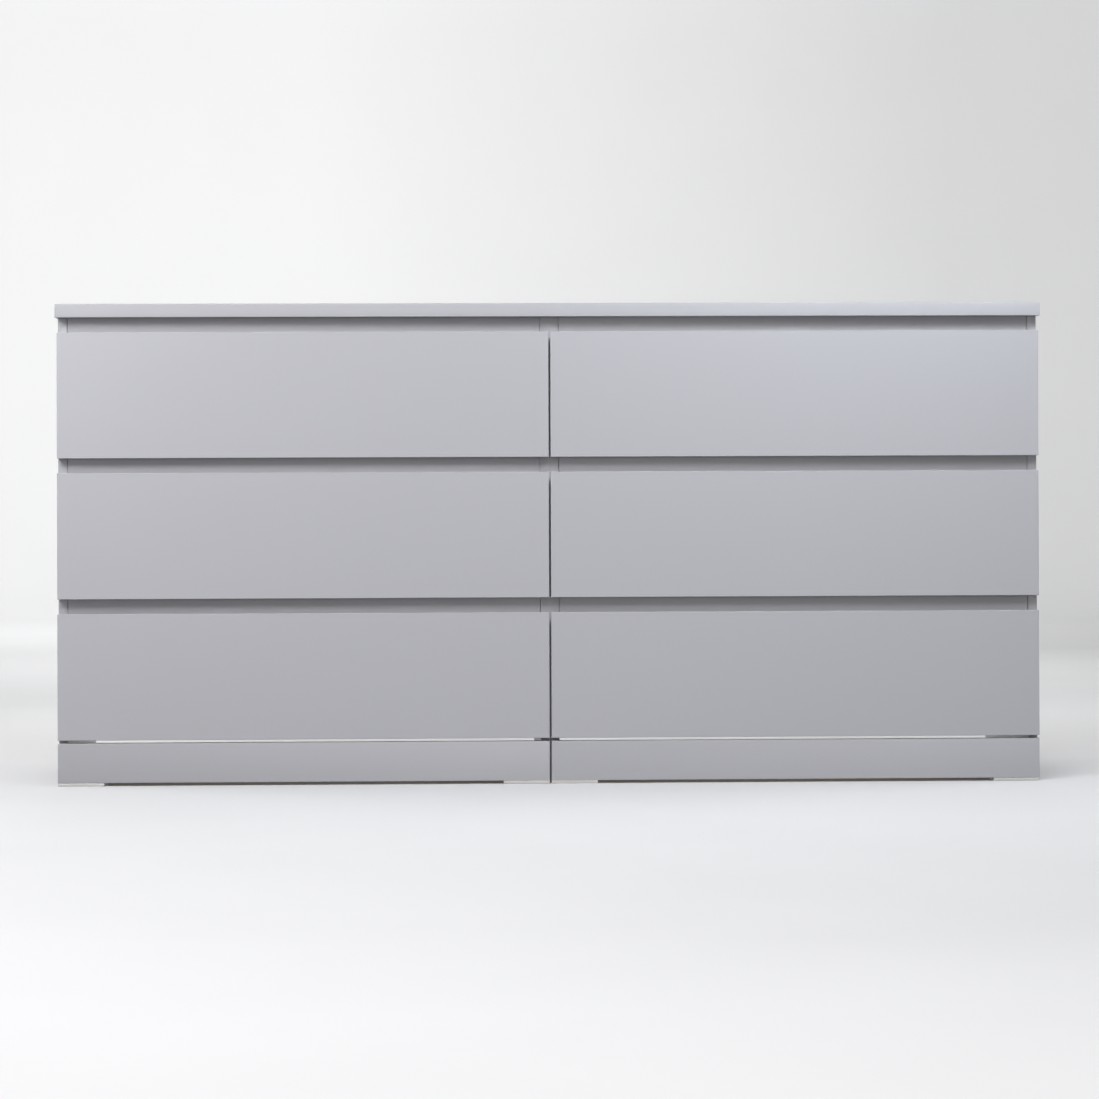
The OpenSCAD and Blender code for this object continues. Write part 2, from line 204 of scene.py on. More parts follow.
def relief(tree, height, depth, strength=1.0, under=None):
    """A bump from a height that runs from 0 to 1, where 1 is depth metres high."""
    inputs = {"Height": height, "Distance": depth, "Strength": strength}
    if under is not None:
        inputs["Normal"] = under
    return add(tree, "ShaderNodeBump", inputs).outputs["Normal"]


def shade(colour, factor):
    return tuple(channel * factor for channel in colour)


# %% [markdown]
# ## The grey lacquer
#
# This is what makes the dresser: a smooth, light, slightly blue grey that is satin, not shiny. Rolled or
# sprayed lacquer is never perfectly even. It has an orange peel a few millimetres across and about two
# hundredths of a millimetre deep, which only shows as a softly broken glow where a lamp is mirrored, and
# its shade drifts by about a hundredth across a board. Both are noise, at two very different scales.

# %% Grey lacquer
LACQUER_GREY = (0.440, 0.446, 0.478)


def make_lacquer():
    material, tree, shader = new_finish("grey_lacquer", IOR=1.45)
    where = places(tree)
    drift = spread(tree, noise(tree, where, 2.2), 0, 1)
    pigment = spread(tree, noise(tree, where, 1400, detail=1), 0, 1)
    body = blend_colours(tree, drift, shade(LACQUER_GREY, 0.985), shade(LACQUER_GREY, 1.015))
    specks = blend_colours(tree, pigment, shade(LACQUER_GREY, 0.975), shade(LACQUER_GREY, 1.02))
    colour = blend_colours(tree, 0.4, body, specks)
    tree.links.new(colour, shader.inputs["Base Color"])
    tree.links.new(spread(tree, noise(tree, where, 9, detail=4), 0.36, 0.44), shader.inputs["Roughness"])
    peel = relief(tree, noise(tree, where, 210), 0.02 * MM)
    grain = relief(tree, noise(tree, where, 1600), 0.004 * MM, under=peel)
    tree.links.new(grain, shader.inputs["Normal"])
    return material


grey_lacquer = make_lacquer()
print("Made", grey_lacquer.name)

# %% [markdown]
# ## Raw chipboard
#
# The boards are chipboard under their lacquer. The rear edges, which face the wall, and the lower edges,
# which face the floor, are left raw on this kind of furniture. Chipboard is pressed from flat chips a few
# millimetres long, each with its own shade of tan, with small dark gaps between them. A Voronoi texture
# is made for that: its cells are the chips, each cell's random colour picks the chip's shade, and the
# distance to the cell's edge gives the gaps.

# %% Raw chipboard
CHIP_PALE = (0.56, 0.42, 0.26)
CHIP_DARK = (0.33, 0.22, 0.12)
CHIP_GAP = (0.10, 0.065, 0.035)


def make_chipboard():
    material, tree, shader = new_finish("raw_chipboard", Roughness=0.85, IOR=1.4)
    where = places(tree, stretch=(1, 1.6, 1.6))
    wobble = noise(tree, where, 90, detail=3)
    bent = add(tree, "ShaderNodeVectorMath", {0: where, 1: add(tree, "ShaderNodeVectorMath", {
        0: (0.004, 0.004, 0.004), 1: wobble}, operation="MULTIPLY").outputs[0]}, operation="ADD").outputs[0]
    chips = add(tree, "ShaderNodeTexVoronoi", {"Vector": bent, "Scale": 260})
    gaps = add(tree, "ShaderNodeTexVoronoi", {"Vector": bent, "Scale": 260}, feature="DISTANCE_TO_EDGE")
    dust = noise(tree, where, 1500)
    chip_shade = add(tree, "ShaderNodeSeparateColor", {0: chips.outputs["Color"]}).outputs[0]
    chip = blend_colours(tree, chip_shade, CHIP_DARK, CHIP_PALE)
    dusty = blend_colours(tree, spread(tree, dust, 0, 0.35), chip, CHIP_PALE)
    gap = spread(tree, gaps.outputs["Distance"], 0, 1, start=0.02, end=0.12)
    tree.links.new(blend_colours(tree, gap, CHIP_GAP, dusty), shader.inputs["Base Color"])
    tree.links.new(relief(tree, gap, 0.25 * MM), shader.inputs["Normal"])
    return material


raw_chipboard = make_chipboard()
print("Made", raw_chipboard.name)

# %% [markdown]
# ## The back panel's two faces
#
# The back is thin hardboard: wood fibres pressed into a dense brown sheet. Only the face inside the bays
# is printed, in a plain light grey. Seen close, bare hardboard is a felt of fibres a millimetre or two
# long. Noise that is squeezed along Z and along X in turn draws short strokes in both directions, and the
# larger of the two at each point wins.

# %% Bare and printed hardboard
HARDBOARD_BROWN = (0.335, 0.215, 0.125)
HARDBOARD_DARK = (0.225, 0.135, 0.075)
PRINT_GREY = (0.46, 0.465, 0.49)


def make_hardboard():
    material, tree, shader = new_finish("bare_hardboard", IOR=1.42)
    lying = noise(tree, places(tree, stretch=(1, 1, 6)), 260, detail=3)
    standing = noise(tree, places(tree, stretch=(6, 1, 1)), 260, detail=3)
    fibres = add(tree, "ShaderNodeMath", {0: lying, 1: standing}, operation="MAXIMUM").outputs[0]
    strokes = spread(tree, fibres, 0, 1, start=0.45, end=0.72)
    clouds = spread(tree, noise(tree, places(tree), 5, detail=4), 0, 1)
    sheet = blend_colours(tree, clouds, shade(HARDBOARD_BROWN, 0.92), shade(HARDBOARD_BROWN, 1.06))
    tree.links.new(blend_colours(tree, strokes, HARDBOARD_DARK, sheet), shader.inputs["Base Color"])
    tree.links.new(spread(tree, clouds, 0.62, 0.74, start=0, end=1), shader.inputs["Roughness"])
    tree.links.new(relief(tree, strokes, 0.04 * MM), shader.inputs["Normal"])
    return material


def make_print():
    material, tree, shader = new_finish("printed_hardboard", IOR=1.45)
    where = places(tree)
    drift = spread(tree, noise(tree, where, 4, detail=3), 0, 1)
    colour = blend_colours(tree, drift, shade(PRINT_GREY, 0.98), shade(PRINT_GREY, 1.02))
    tree.links.new(colour, shader.inputs["Base Color"])
    tree.links.new(spread(tree, noise(tree, where, 30), 0.5, 0.6), shader.inputs["Roughness"])
    tree.links.new(relief(tree, noise(tree, where, 700, detail=3), 0.015 * MM), shader.inputs["Normal"])
    return material


bare_hardboard, printed_hardboard = make_hardboard(), make_print()
print("Made", bare_hardboard.name, "and", printed_hardboard.name)

# %% [markdown]
# ## The drawer boxes' foil
#
# Inside, the drawers are boards wrapped in an off-white foil with a fine embossed grain: shallow dashes a
# few millimetres long that run the length of each board. The dashes lie along Y on the sides and along X
# on the back and the bottom, so the foil is made twice, with its noise stretched along one or the other.

# %% Off-white foil with its grain along one axis
FOIL_WHITE = (0.735, 0.735, 0.72)


def make_foil(name, stretch):
    material, tree, shader = new_finish(name, IOR=1.46)
    where = places(tree)
    dashes = spread(tree, noise(tree, places(tree, stretch), 900, detail=3), 0, 1, start=0.4, end=0.62)
    drift = spread(tree, noise(tree, where, 3), 0, 1)
    even = blend_colours(tree, drift, shade(FOIL_WHITE, 0.985), shade(FOIL_WHITE, 1.01))
    tree.links.new(blend_colours(tree, dashes, shade(FOIL_WHITE, 0.95), even), shader.inputs["Base Color"])
    tree.links.new(spread(tree, dashes, 0.52, 0.42, start=0, end=1), shader.inputs["Roughness"])
    tree.links.new(relief(tree, dashes, 0.03 * MM), shader.inputs["Normal"])
    return material


foil_along_y = make_foil("foil_along_y", (1, 0.12, 1))
foil_along_x = make_foil("foil_along_x", (0.12, 1, 1))
print("Made", foil_along_y.name, "and", foil_along_x.name)

# %% [markdown]
# ## Steel, zinc and plastic
#
# The runners are rolled steel under a white powder coat, whose skin is pebbled at about a millimetre. The
# cams, screws and brackets are zinc plated: bright metal with a faint spangle, and duller where it was
# handled. The rollers are moulded nylon, polished by use, and the foot pads and the small bumpers are
# softer plastic. All five share one recipe with its own numbers, because they differ only in how strong
# each pattern is.

# %% One recipe for the small parts' finishes
def make_small_finish(name, colour, drift=0.02, rough=(0.4, 0.5), pebble=900, depth=0.01, **shader_inputs):
    """drift is how far the shade wanders, pebble how many pebbles a metre, depth their height in mm."""
    material, tree, shader = new_finish(name, **shader_inputs)
    where = places(tree)
    wander = spread(tree, noise(tree, where, 35, detail=4), 0, 1)
    tint = blend_colours(tree, wander, shade(colour, 1 - drift), shade(colour, 1 + drift))
    tree.links.new(tint, shader.inputs["Base Color"])
    tree.links.new(spread(tree, noise(tree, where, 120, detail=3), *rough), shader.inputs["Roughness"])
    tree.links.new(relief(tree, noise(tree, where, pebble), depth * MM), shader.inputs["Normal"])
    return material


runner_white = make_small_finish("runner_powder_coat", (0.74, 0.74, 0.73), rough=(0.38, 0.5), pebble=1100,
                                 depth=0.02, IOR=1.5)
zinc_plate = make_small_finish("zinc_plate", (0.60, 0.61, 0.63), drift=0.09, rough=(0.24, 0.42),
                               pebble=600, depth=0.006, Metallic=1.0)
roller_nylon = make_small_finish("roller_nylon", (0.82, 0.82, 0.79), rough=(0.34, 0.5), pebble=500,
                                 depth=0.008, IOR=1.53)
pad_plastic = make_small_finish("pad_plastic", (0.62, 0.62, 0.61), rough=(0.45, 0.6), pebble=1400,
                                depth=0.02, IOR=1.5)
bumper_plastic = make_small_finish("bumper_plastic", (0.66, 0.66, 0.64), rough=(0.2, 0.32), pebble=300,
                                   depth=0.01, IOR=1.42)
print("Made five small finishes")

# %% [markdown]
# ## Beech
#
# The dowels are beech: pale, pinkish tan, with fine darker flecks along the grain. Each dowel points its
# own way, so the grain can't follow X, Y or Z. Instead the dowels will carry an attribute, `grain`, which
# holds each point's place on the dowel with the length first, and the texture reads that.

# %% Beech that follows an attribute
BEECH_PALE = (0.66, 0.47, 0.29)
BEECH_FLECK = (0.40, 0.245, 0.13)
GRAIN = "grain"


def make_beech():
    material, tree, shader = new_finish("beech", IOR=1.45)
    grain = add(tree, "ShaderNodeAttribute", attribute_name=GRAIN).outputs["Vector"]
    along = add(tree, "ShaderNodeMapping", {"Vector": grain, "Scale": (0.1, 1, 1)}).outputs[0]
    flecks = spread(tree, noise(tree, along, 1600, detail=3), 0, 1, start=0.56, end=0.7)
    rings = spread(tree, noise(tree, along, 320), 0.9, 1.08)
    pale = add(tree, "ShaderNodeVectorMath", {0: BEECH_PALE, "Scale": rings}, operation="SCALE").outputs[0]
    tree.links.new(blend_colours(tree, flecks, pale, BEECH_FLECK), shader.inputs["Base Color"])
    tree.links.new(spread(tree, flecks, 0.6, 0.75, start=0, end=1), shader.inputs["Roughness"])
    tree.links.new(relief(tree, flecks, -0.02 * MM), shader.inputs["Normal"])
    return material


beech = make_beech()
print("Made", beech.name)

# %% [markdown]
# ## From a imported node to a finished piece
#
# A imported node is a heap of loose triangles, which is right for an engineering model and wrong for a
# bevel. So a board is copied, its doubled corners are merged and its flat faces are made whole again. Real
# boards have no knife edges: lacquered ones are rounded by sanding, and sheet steel by its bends. Each
# long edge gets a bevel weight, and the Bevel modifier turns that into a small true radius, narrower where
# the face beside it is too thin to hold a full one. The rims of bores are made of short edges, so leaving
# short edges alone keeps every bore crisp.

# %% Copy a node and weigh its edges
MERGE = 0.01 * MM             # corners closer than this are one corner
FLAT = math.radians(1)        # faces that turn by less than this are one face
CORNER = math.radians(30)     # an edge that turns by more than this is a real edge
LONG_EDGE = 2.5 * MM
EDGE_SHARE = 0.4              # the most of a narrow face that one rounded edge may take
EDGE_STEPS = 3                # facets across a rounded edge
FACING = 0.9                  # a face whose normal has this much of a direction faces that way
BEVEL_WEIGHT = "bevel_weight_edge"


def whole_copy(node):
    """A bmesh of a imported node's surface, with merged corners and whole flat faces."""
    shell = bmesh.new()
    shell.from_mesh(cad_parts[node].data)
    bmesh.ops.remove_doubles(shell, verts=shell.verts, dist=MERGE)
    bmesh.ops.dissolve_limit(shell, angle_limit=FLAT, verts=shell.verts, edges=shell.edges)
    return shell


def weigh_edges(shell, radius):
    """Gives the edges to be rounded their weight, from 0 to 1, and marks the other corners as sharp."""
    weights = shell.edges.layers.float.get(BEVEL_WEIGHT) or shell.edges.layers.float.new(BEVEL_WEIGHT)
    for edge in shell.edges:
        length = edge.calc_length()
        turns = len(edge.link_faces) == 2 and edge.calc_face_angle() > CORNER
        if turns and length > LONG_EDGE:
            breadth = min(face.calc_area() / length for face in edge.link_faces)
            edge[weights] = min(1, EDGE_SHARE * breadth / radius)
        edge.smooth = not turns or edge[weights] > 0


def as_object(shell, name, materials):
    mesh = bpy.data.meshes.new(name)
    for face in shell.faces:
        face.smooth = True
    shell.to_mesh(mesh)
    shell.free()
    for material in materials:
        mesh.materials.append(material)
    piece = bpy.data.objects.new(name, mesh)
    bpy.context.scene.collection.objects.link(piece)
    return piece


def round_edges(piece, radius):
    bevel = piece.modifiers.new("rounded edges", "BEVEL")
    bevel.limit_method = "WEIGHT"
    bevel.width = radius
    bevel.segments = EDGE_STEPS
    bevel.use_clamp_overlap = False
    bevel.harden_normals = True
    return piece


# %% [markdown]
# Every piece then does the same two things: it rides on the body that carries it, and stands for the
# imported nodes that it copies. A board may wear a second material on some of its faces, such as raw
# chipboard on its rear edge, and a small rule picks those faces.

# %% Seat a piece, and dress a board
BOARD_RADIUS = 0.8 * MM


def seat(piece, body, stands_for=()):
    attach(piece, body)
    if stands_for:
        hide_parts(*stands_for)
    return piece


def dress(node, body, materials, radius=BOARD_RADIUS, pick=None):
    """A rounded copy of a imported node. pick(face) is the place in materials of the one that a face wears."""
    shell = whole_copy(node)
    if pick:
        for face in shell.faces:
            face.material_index = pick(face)
    weigh_edges(shell, radius)
    piece = round_edges(as_object(shell, f"{node}_finished", materials), radius)
    return seat(piece, body, [node])


def faces_back(face):
    return int(face.normal.y > FACING)


# %% [markdown]
# ## The carcass
#
# The top, the two side panels, the partition, the rails behind the finger gaps and the plinths are all
# lacquered chipboard. The side panels, the partition and the top are raw on the edges that face the wall,
# and the uprights and the plinths are raw underneath. The rails end in a hairline seam at the uprights, so
# each end moves in by that much.

# %% The lacquered boards
RAIL_SEAM = 0.6 * MM          # the open seam at each end of a rail


def raw_edges(node):
    """A rule for an upright board: its outermost rear edge and its lower edge are raw."""
    low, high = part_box(node)

    def pick(face):
        middle = face.calc_center_median()
        rear = face.normal.y > FACING and middle.y > high.y - MM
        lower = face.normal.z < -FACING and middle.z < low.z + MM
        return int(rear or lower)
    return pick


UPRIGHTS = ("left_side_panel", "right_side_panel", "partition", "left_plinth", "right_plinth")
for board in UPRIGHTS:
    dress(board, CARCASS, [grey_lacquer, raw_chipboard], pick=raw_edges(board))
dress("top_panel", CARCASS, [grey_lacquer, raw_chipboard], pick=faces_back)
front_rails = dress("front_rails", CARCASS, [grey_lacquer])
bay_x = abs(middle_of("top_left_bottom").x)
for vertex in front_rails.data.vertices:
    bay_middle = math.copysign(bay_x, vertex.co.x)
    vertex.co.x += math.copysign(RAIL_SEAM, bay_middle - vertex.co.x)
print("Dressed", len(UPRIGHTS) + 2, "lacquered nodes")

# %% [markdown]
# ## The back panel
#
# The back comes folded in its flat pack and is opened out on its crease, so the crease stays as a shallow
# groove down the middle, over the partition. The sheet is cut in three places: on each side of the groove
# and along its bottom. Pushing the middle cut inwards makes the groove.

# %% The back panel and its crease
SHEET_RADIUS = 0.3 * MM
CREASE_HALF = 1.2 * MM
CREASE_DEPTH = 0.6 * MM


def crease(shell, x, rear):
    for cut in (x - CREASE_HALF, x, x + CREASE_HALF):
        everything = [*shell.verts, *shell.edges, *shell.faces]
        bmesh.ops.bisect_plane(shell, geom=everything, plane_co=(cut, 0, 0), plane_no=(1, 0, 0))
    for vertex in shell.verts:
        if abs(vertex.co.x - x) < MERGE and vertex.co.y > rear - MERGE:
            vertex.co.y -= CREASE_DEPTH


def make_back_panel():
    shell = whole_copy("back_panel")
    crease(shell, middle_of("back_panel").x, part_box("back_panel")[1].y)
    for face in shell.faces:
        face.material_index = int(face.normal.y < -FACING)
    weigh_edges(shell, SHEET_RADIUS)
    piece = as_object(shell, "back_panel_finished", [bare_hardboard, printed_hardboard])
    return seat(round_edges(piece, SHEET_RADIUS), CARCASS, ["back_panel"])


back_panel = make_back_panel()
print("The back panel has", len(back_panel.data.polygons), "faces")

# %% [markdown]
# ## The foot pads
#
# Seven moulded pads keep the boards off the floor. Their corners are rounder than a board's, because a
# mould can't make a sharp corner either, and they are the paler strips at the ends of the plinths.

# %% The foot pads
PAD_RADIUS = 1.0 * MM
dress("foot_pads", CARCASS, [pad_plastic], radius=PAD_RADIUS)
print("The pads are", round(size_of("foot_pads").z * 1000, 1), "mm high with their pegs")

# %% [markdown]
# ## Geometry Nodes: a rule with named sizes
#
# The rest of the dresser is full of things that repeat or follow a rule: six fronts with one outline, and
# over two hundred screws, nails, cams and dowels. Geometry Nodes suit both. A tree is a rule, its inputs
# are named sizes, and the same rule runs again for each piece. Three helpers are enough. The first starts
# a tree with its inputs. The second ends it with real geometry and its finish. The third runs it on an
# object, sets each input by its identifier, and keeps what comes out as a plain mesh, so that no modifier
# or instance is left on the finished piece.

# %% Helpers to build a rule and to run it
def new_rule(name, sizes):
    """A Geometry Nodes tree with named sizes and a finish. Returns it, its inputs and its end."""
    tree = bpy.data.node_groups.new(name, "GeometryNodeTree")
    tree.interface.new_socket("Geometry", in_out="INPUT", socket_type="NodeSocketGeometry")
    tree.interface.new_socket("Geometry", in_out="OUTPUT", socket_type="NodeSocketGeometry")
    for size in sizes:
        tree.interface.new_socket(size, in_out="INPUT", socket_type="NodeSocketFloat")
    tree.interface.new_socket("Finish", in_out="INPUT", socket_type="NodeSocketMaterial")
    given = tree.nodes.new("NodeGroupInput").outputs
    result = tree.nodes.new("NodeGroupOutput").inputs[0]
    return tree, given, result


def close_rule(tree, given, geometry, result):
    """The last two nodes of every rule: real geometry in place of instances, and its finish."""
    real = add(tree, "GeometryNodeRealizeInstances", {"Geometry": geometry}).outputs[0]
    finished = add(tree, "GeometryNodeSetMaterial", {"Geometry": real, "Material": given["Finish"]})
    tree.links.new(finished.outputs[0], result)
    return tree


def run_rule(tree, name, start=None, **values):
    """Runs a rule on a start mesh, or on an empty one, and keeps the result as a plain mesh."""
    piece = bpy.data.objects.new(name, start or bpy.data.meshes.new(name))
    bpy.context.scene.collection.objects.link(piece)
    modifier = piece.modifiers.new("rule", "NODES")
    modifier.node_group = tree
    for item in tree.interface.items_tree:
        key = item.name.replace(" ", "_").lower()
        if item.in_out == "INPUT" and key in values:
            modifier[item.identifier] = values[key]
    evaluated = piece.evaluated_get(bpy.context.evaluated_depsgraph_get())
    made = bpy.data.meshes.new_from_object(evaluated)
    piece.modifiers.remove(modifier)
    piece.data = made
    made.name = name
    return piece


# %% [markdown]
# ## The drawer fronts
#
# The fronts have no handles. Each is a plain board whose rear face is cut away at 45 degrees below its
# top edge, so that only a thin lip is left, and fingers pull behind that lip. The whole front follows one
# rule: five corners in a section, drawn out to the front's width, less a groove for the drawer's bottom.
# The section is a five-sided mesh circle whose corners are sent to their places one by one.

# %% The rule for a drawer front
FRONT_SIZES = ("Width", "Height", "Thickness", "Lip", "Groove Width", "Groove Height", "Groove Lift",
               "Groove Depth", "Groove Middle")


def combine(tree, x=0.0, y=0.0, z=0.0):
    return add(tree, "ShaderNodeCombineXYZ", {"X": x, "Y": y, "Z": z}).outputs[0]


def compute(tree, operation, first, second=0.0):
    return add(tree, "ShaderNodeMath", {0: first, 1: second}, operation=operation).outputs[0]


def front_section(tree, given):
    """The section's five corners in Y and Z, with the face that shows at y = 0 and the foot at z = 0."""
    bevel = compute(tree, "SUBTRACT", given["Thickness"], given["Lip"])
    corners = (
        (0.0, 0.0),
        (given["Thickness"], 0.0),
        (given["Thickness"], compute(tree, "SUBTRACT", given["Height"], bevel)),
        (given["Lip"], given["Height"]),
        (0.0, given["Height"]),
    )
    circle = add(tree, "GeometryNodeMeshCircle", {"Vertices": len(corners)}, fill_type="NGON")
    switch = add(tree, "GeometryNodeIndexSwitch", data_type="VECTOR")
    while len(switch.index_switch_items) < len(corners):
        switch.index_switch_items.new()
    tree.links.new(add(tree, "GeometryNodeInputIndex").outputs[0], switch.inputs["Index"])
    for number, (y, z) in enumerate(corners):
        tree.links.new(combine(tree, y=y, z=z), switch.inputs[str(number)])
    return add(tree, "GeometryNodeSetPosition", {
        "Geometry": circle.outputs[0], "Position": switch.outputs[0]}).outputs[0]


def make_front_rule():
    tree, given, result = new_rule("drawer_front", FRONT_SIZES)
    section = front_section(tree, given)
    drawn = add(tree, "GeometryNodeExtrudeMesh", {
        "Mesh": section, "Offset": combine(tree, x=1.0), "Offset Scale": given["Width"]})
    near_end = add(tree, "GeometryNodeFlipFaces", {"Mesh": section}).outputs[0]
    both = add(tree, "GeometryNodeJoinGeometry")
    for part in (drawn.outputs["Mesh"], near_end):
        tree.links.new(part, both.inputs[0])
    board = add(tree, "GeometryNodeMergeByDistance", {"Geometry": both.outputs[0], "Distance": MERGE})
    through = compute(tree, "MULTIPLY", given["Groove Depth"], 2.0)
    slot_size = combine(tree, given["Groove Width"], through, given["Groove Height"])
    slot = add(tree, "GeometryNodeMeshCube", {"Size": slot_size}).outputs[0]
    half_height = compute(tree, "DIVIDE", given["Groove Height"], 2.0)
    slot_place = combine(tree, given["Groove Middle"], given["Thickness"],
                         compute(tree, "ADD", given["Groove Lift"], half_height))
    placed = add(tree, "GeometryNodeTransform", {"Geometry": slot, "Translation": slot_place}).outputs[0]
    cut = add(tree, "GeometryNodeMeshBoolean", {"Mesh 1": board.outputs[0], "Mesh 2": placed},
              operation="DIFFERENCE", solver="EXACT")
    return close_rule(tree, given, cut.outputs["Mesh"], result)


front_rule = make_front_rule()
print("The rule for a front has", len(front_rule.nodes), "nodes")

# %% [markdown]
# The rule draws a front from its own lower left corner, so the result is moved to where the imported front
# is. The groove's sizes come from the drawer's own bottom board: a little wider and higher than it, which
# is the play that lets it slide in. Then the front's long edges are rounded like any other board's.

# %% Run the rule for the six fronts
LIP = 4 * MM
GROOVE_PLAY = 0.5 * MM
GROOVE_RISE = 0.2 * MM


def place_mesh(piece, offset):
    for vertex in piece.data.vertices:
        vertex.co += offset


def weigh_piece(piece, radius):
    shell = bmesh.new()
    shell.from_mesh(piece.data)
    bmesh.ops.recalc_face_normals(shell, faces=shell.faces)
    weigh_edges(shell, radius)
    for face in shell.faces:
        face.smooth = True
    shell.to_mesh(piece.data)
    shell.free()


def make_front(drawer):
    node = f"{drawer}_front"
    corner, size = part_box(node)[0], size_of(node)
    bottom_low, bottom_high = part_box(f"{drawer}_bottom")
    piece = run_rule(
        front_rule, f"{drawer}_front_board", finish=grey_lacquer,
        width=size.x, height=size.z, thickness=size.y, lip=LIP,
        groove_width=bottom_high.x - bottom_low.x + 2 * GROOVE_PLAY,
        groove_height=bottom_high.z - bottom_low.z + GROOVE_RISE,
        groove_lift=bottom_low.z - corner.z,
        groove_depth=corner.y + size.y - bottom_low.y + GROOVE_PLAY,
        groove_middle=(bottom_low.x + bottom_high.x) / 2 - corner.x)
    place_mesh(piece, corner)
    weigh_piece(piece, BOARD_RADIUS)
    return seat(round_edges(piece, BOARD_RADIUS), drawer_body(drawer), [node])


fronts = {drawer: make_front(drawer) for drawer in DRAWERS}
print("Made", len(fronts), "fronts of", len(fronts["top_left"].data.polygons), "faces each")

# %% [markdown]
# ## The drawer boxes
#
# Two sides, a back and a bottom that slides into their grooves, all in the off-white foil. The foil's
# grain follows each board, and the sides' rear ends are raw, where they butt against nothing.

# %% The drawer boxes
BOX_RADIUS = 0.5 * MM
for drawer in DRAWERS:
    body = drawer_body(drawer)
    for side in COLUMNS:
        dress(f"{drawer}_{side}_side", body, [foil_along_y, raw_chipboard],
              radius=BOX_RADIUS, pick=faces_back)
    for board in ("back", "bottom"):
        dress(f"{drawer}_{board}", body, [foil_along_x], radius=BOX_RADIUS)
print("Dressed", 4 * len(DRAWERS), "boards of the drawer boxes")

# %% [markdown]
# ## The runners
#
# Each runner is a strip of steel rolled into a channel, so its bends are round and its cut edges only
# slightly eased. The same edge rule does both: an edge between two wide faces is a bend and takes the full
# radius, and an edge beside the strip's own thickness takes a share of that thickness. The rollers turn on
# pins that are riveted into the steel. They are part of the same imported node, so a face is given to the
# zinc when it lies within a pin's reach of a roller's axis and clear of the strip.

# %% The runners and their pins
BEND_RADIUS = 0.7 * MM
PIN_REACH = 4.2 * MM
PIN_END = 12 * MM             # a face further out than this isn't a pin's
STRIP = 1.25 * MM             # the strip's thickness, and a little more
ROLLER_OFF_WALL = 2 * MM      # from a wall to the roller beside it


def pin_rule(axles):
    """A rule that picks zinc for the pins. axles lists (the strip's near face in X, Y, Z, direction)."""
    def pick(face):
        middle = face.calc_center_median()
        for x, y, z, direction in axles:
            clear = (middle.x - x) * direction
            if STRIP < clear < PIN_END and math.hypot(middle.y - y, middle.z - z) < PIN_REACH:
                return 1
        return 0
    return pick


def wall_axles(drawer):
    """Where the front rollers' pins leave the walls of a drawer's bay."""
    low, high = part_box(f"{drawer}_front_rollers")
    y, z = (low.y + high.y) / 2, (low.z + high.z) / 2
    return [(low.x - ROLLER_OFF_WALL, y, z, 1), (high.x + ROLLER_OFF_WALL, y, z, -1)]


def drawer_axles(drawer):
    """Where the rear rollers' pins leave the sides of a drawer's box."""
    low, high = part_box(f"{drawer}_rear_rollers")
    side_low, side_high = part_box(f"{drawer}_left_side")[0].x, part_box(f"{drawer}_right_side")[1].x
    y, z = (low.y + high.y) / 2, (low.z + high.z) / 2
    return [(side_low, y, z, -1), (side_high, y, z, 1)]


cabinet_axles = [axle for drawer in DRAWERS for axle in wall_axles(drawer)]
dress("cabinet_runners", CARCASS, [runner_white, zinc_plate], radius=BEND_RADIUS,
      pick=pin_rule(cabinet_axles))
for drawer in DRAWERS:
    dress(f"{drawer}_runners", drawer_body(drawer), [runner_white, zinc_plate],
          radius=BEND_RADIUS, pick=pin_rule(drawer_axles(drawer)))
print("Dressed", 4 * len(DRAWERS), "runners with", 4 * len(DRAWERS), "pins")

# %% [markdown]
# ## The rollers
#
# The rollers are already turned shapes with true chamfers and a counterbore for the pin's head, so the
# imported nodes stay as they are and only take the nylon.

# %% The rollers
for drawer in DRAWERS:
    for place in ("front", "rear"):
        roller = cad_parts[f"{drawer}_{place}_rollers"]
        roller.data.materials.clear()
        roller.data.materials.append(roller_nylon)
print("Gave", 2 * len(DRAWERS), "pairs of rollers their nylon")

# %% [markdown]
# ## One rule for everything that is turned on a lathe
#
# Screws, bolts, dowels, cams, nails and bumpers are all round parts with an outline. So one kind of tree
# makes them all. A cylinder gives one ring of points for each corner of the outline, and two curves, for
# the place along the axis and for the radius, send each ring where the outline says. A part may also get a
# cross for a screwdriver, flutes down its length, or a hole across it. The finished part is put on every
# point of the start mesh, turned by that point's own rotation.

# %% The rule for a turned part
TURNED_SIZES = ("Radius", "Length", "Cross Width", "Cross Depth", "Hole Radius", "Hole Drop", "Flute Share")
TURN = "turn"
CROSS_REACH = 1.15            # the length of a cross's arms, in radii
DRILL_REACH = 4.0             # the length of a drill, in radii
DRILL_SIDES = 24
SPIN_SEED = 4


def share_curve(tree, share, values):
    """Reads a list of values at evenly spaced shares from 0 to 1, with straight lines between them."""
    node = add(tree, "ShaderNodeFloatCurve", {"Value": share})
    points = node.mapping.curves[0].points
    while len(points) < len(values):
        points.new(0.5, 0.5)
    for number, (point, value) in enumerate(zip(points, values)):
        point.location = (number / (len(values) - 1), value)
        point.handle_type = "VECTOR"
    node.mapping.update()
    return node.outputs[0]


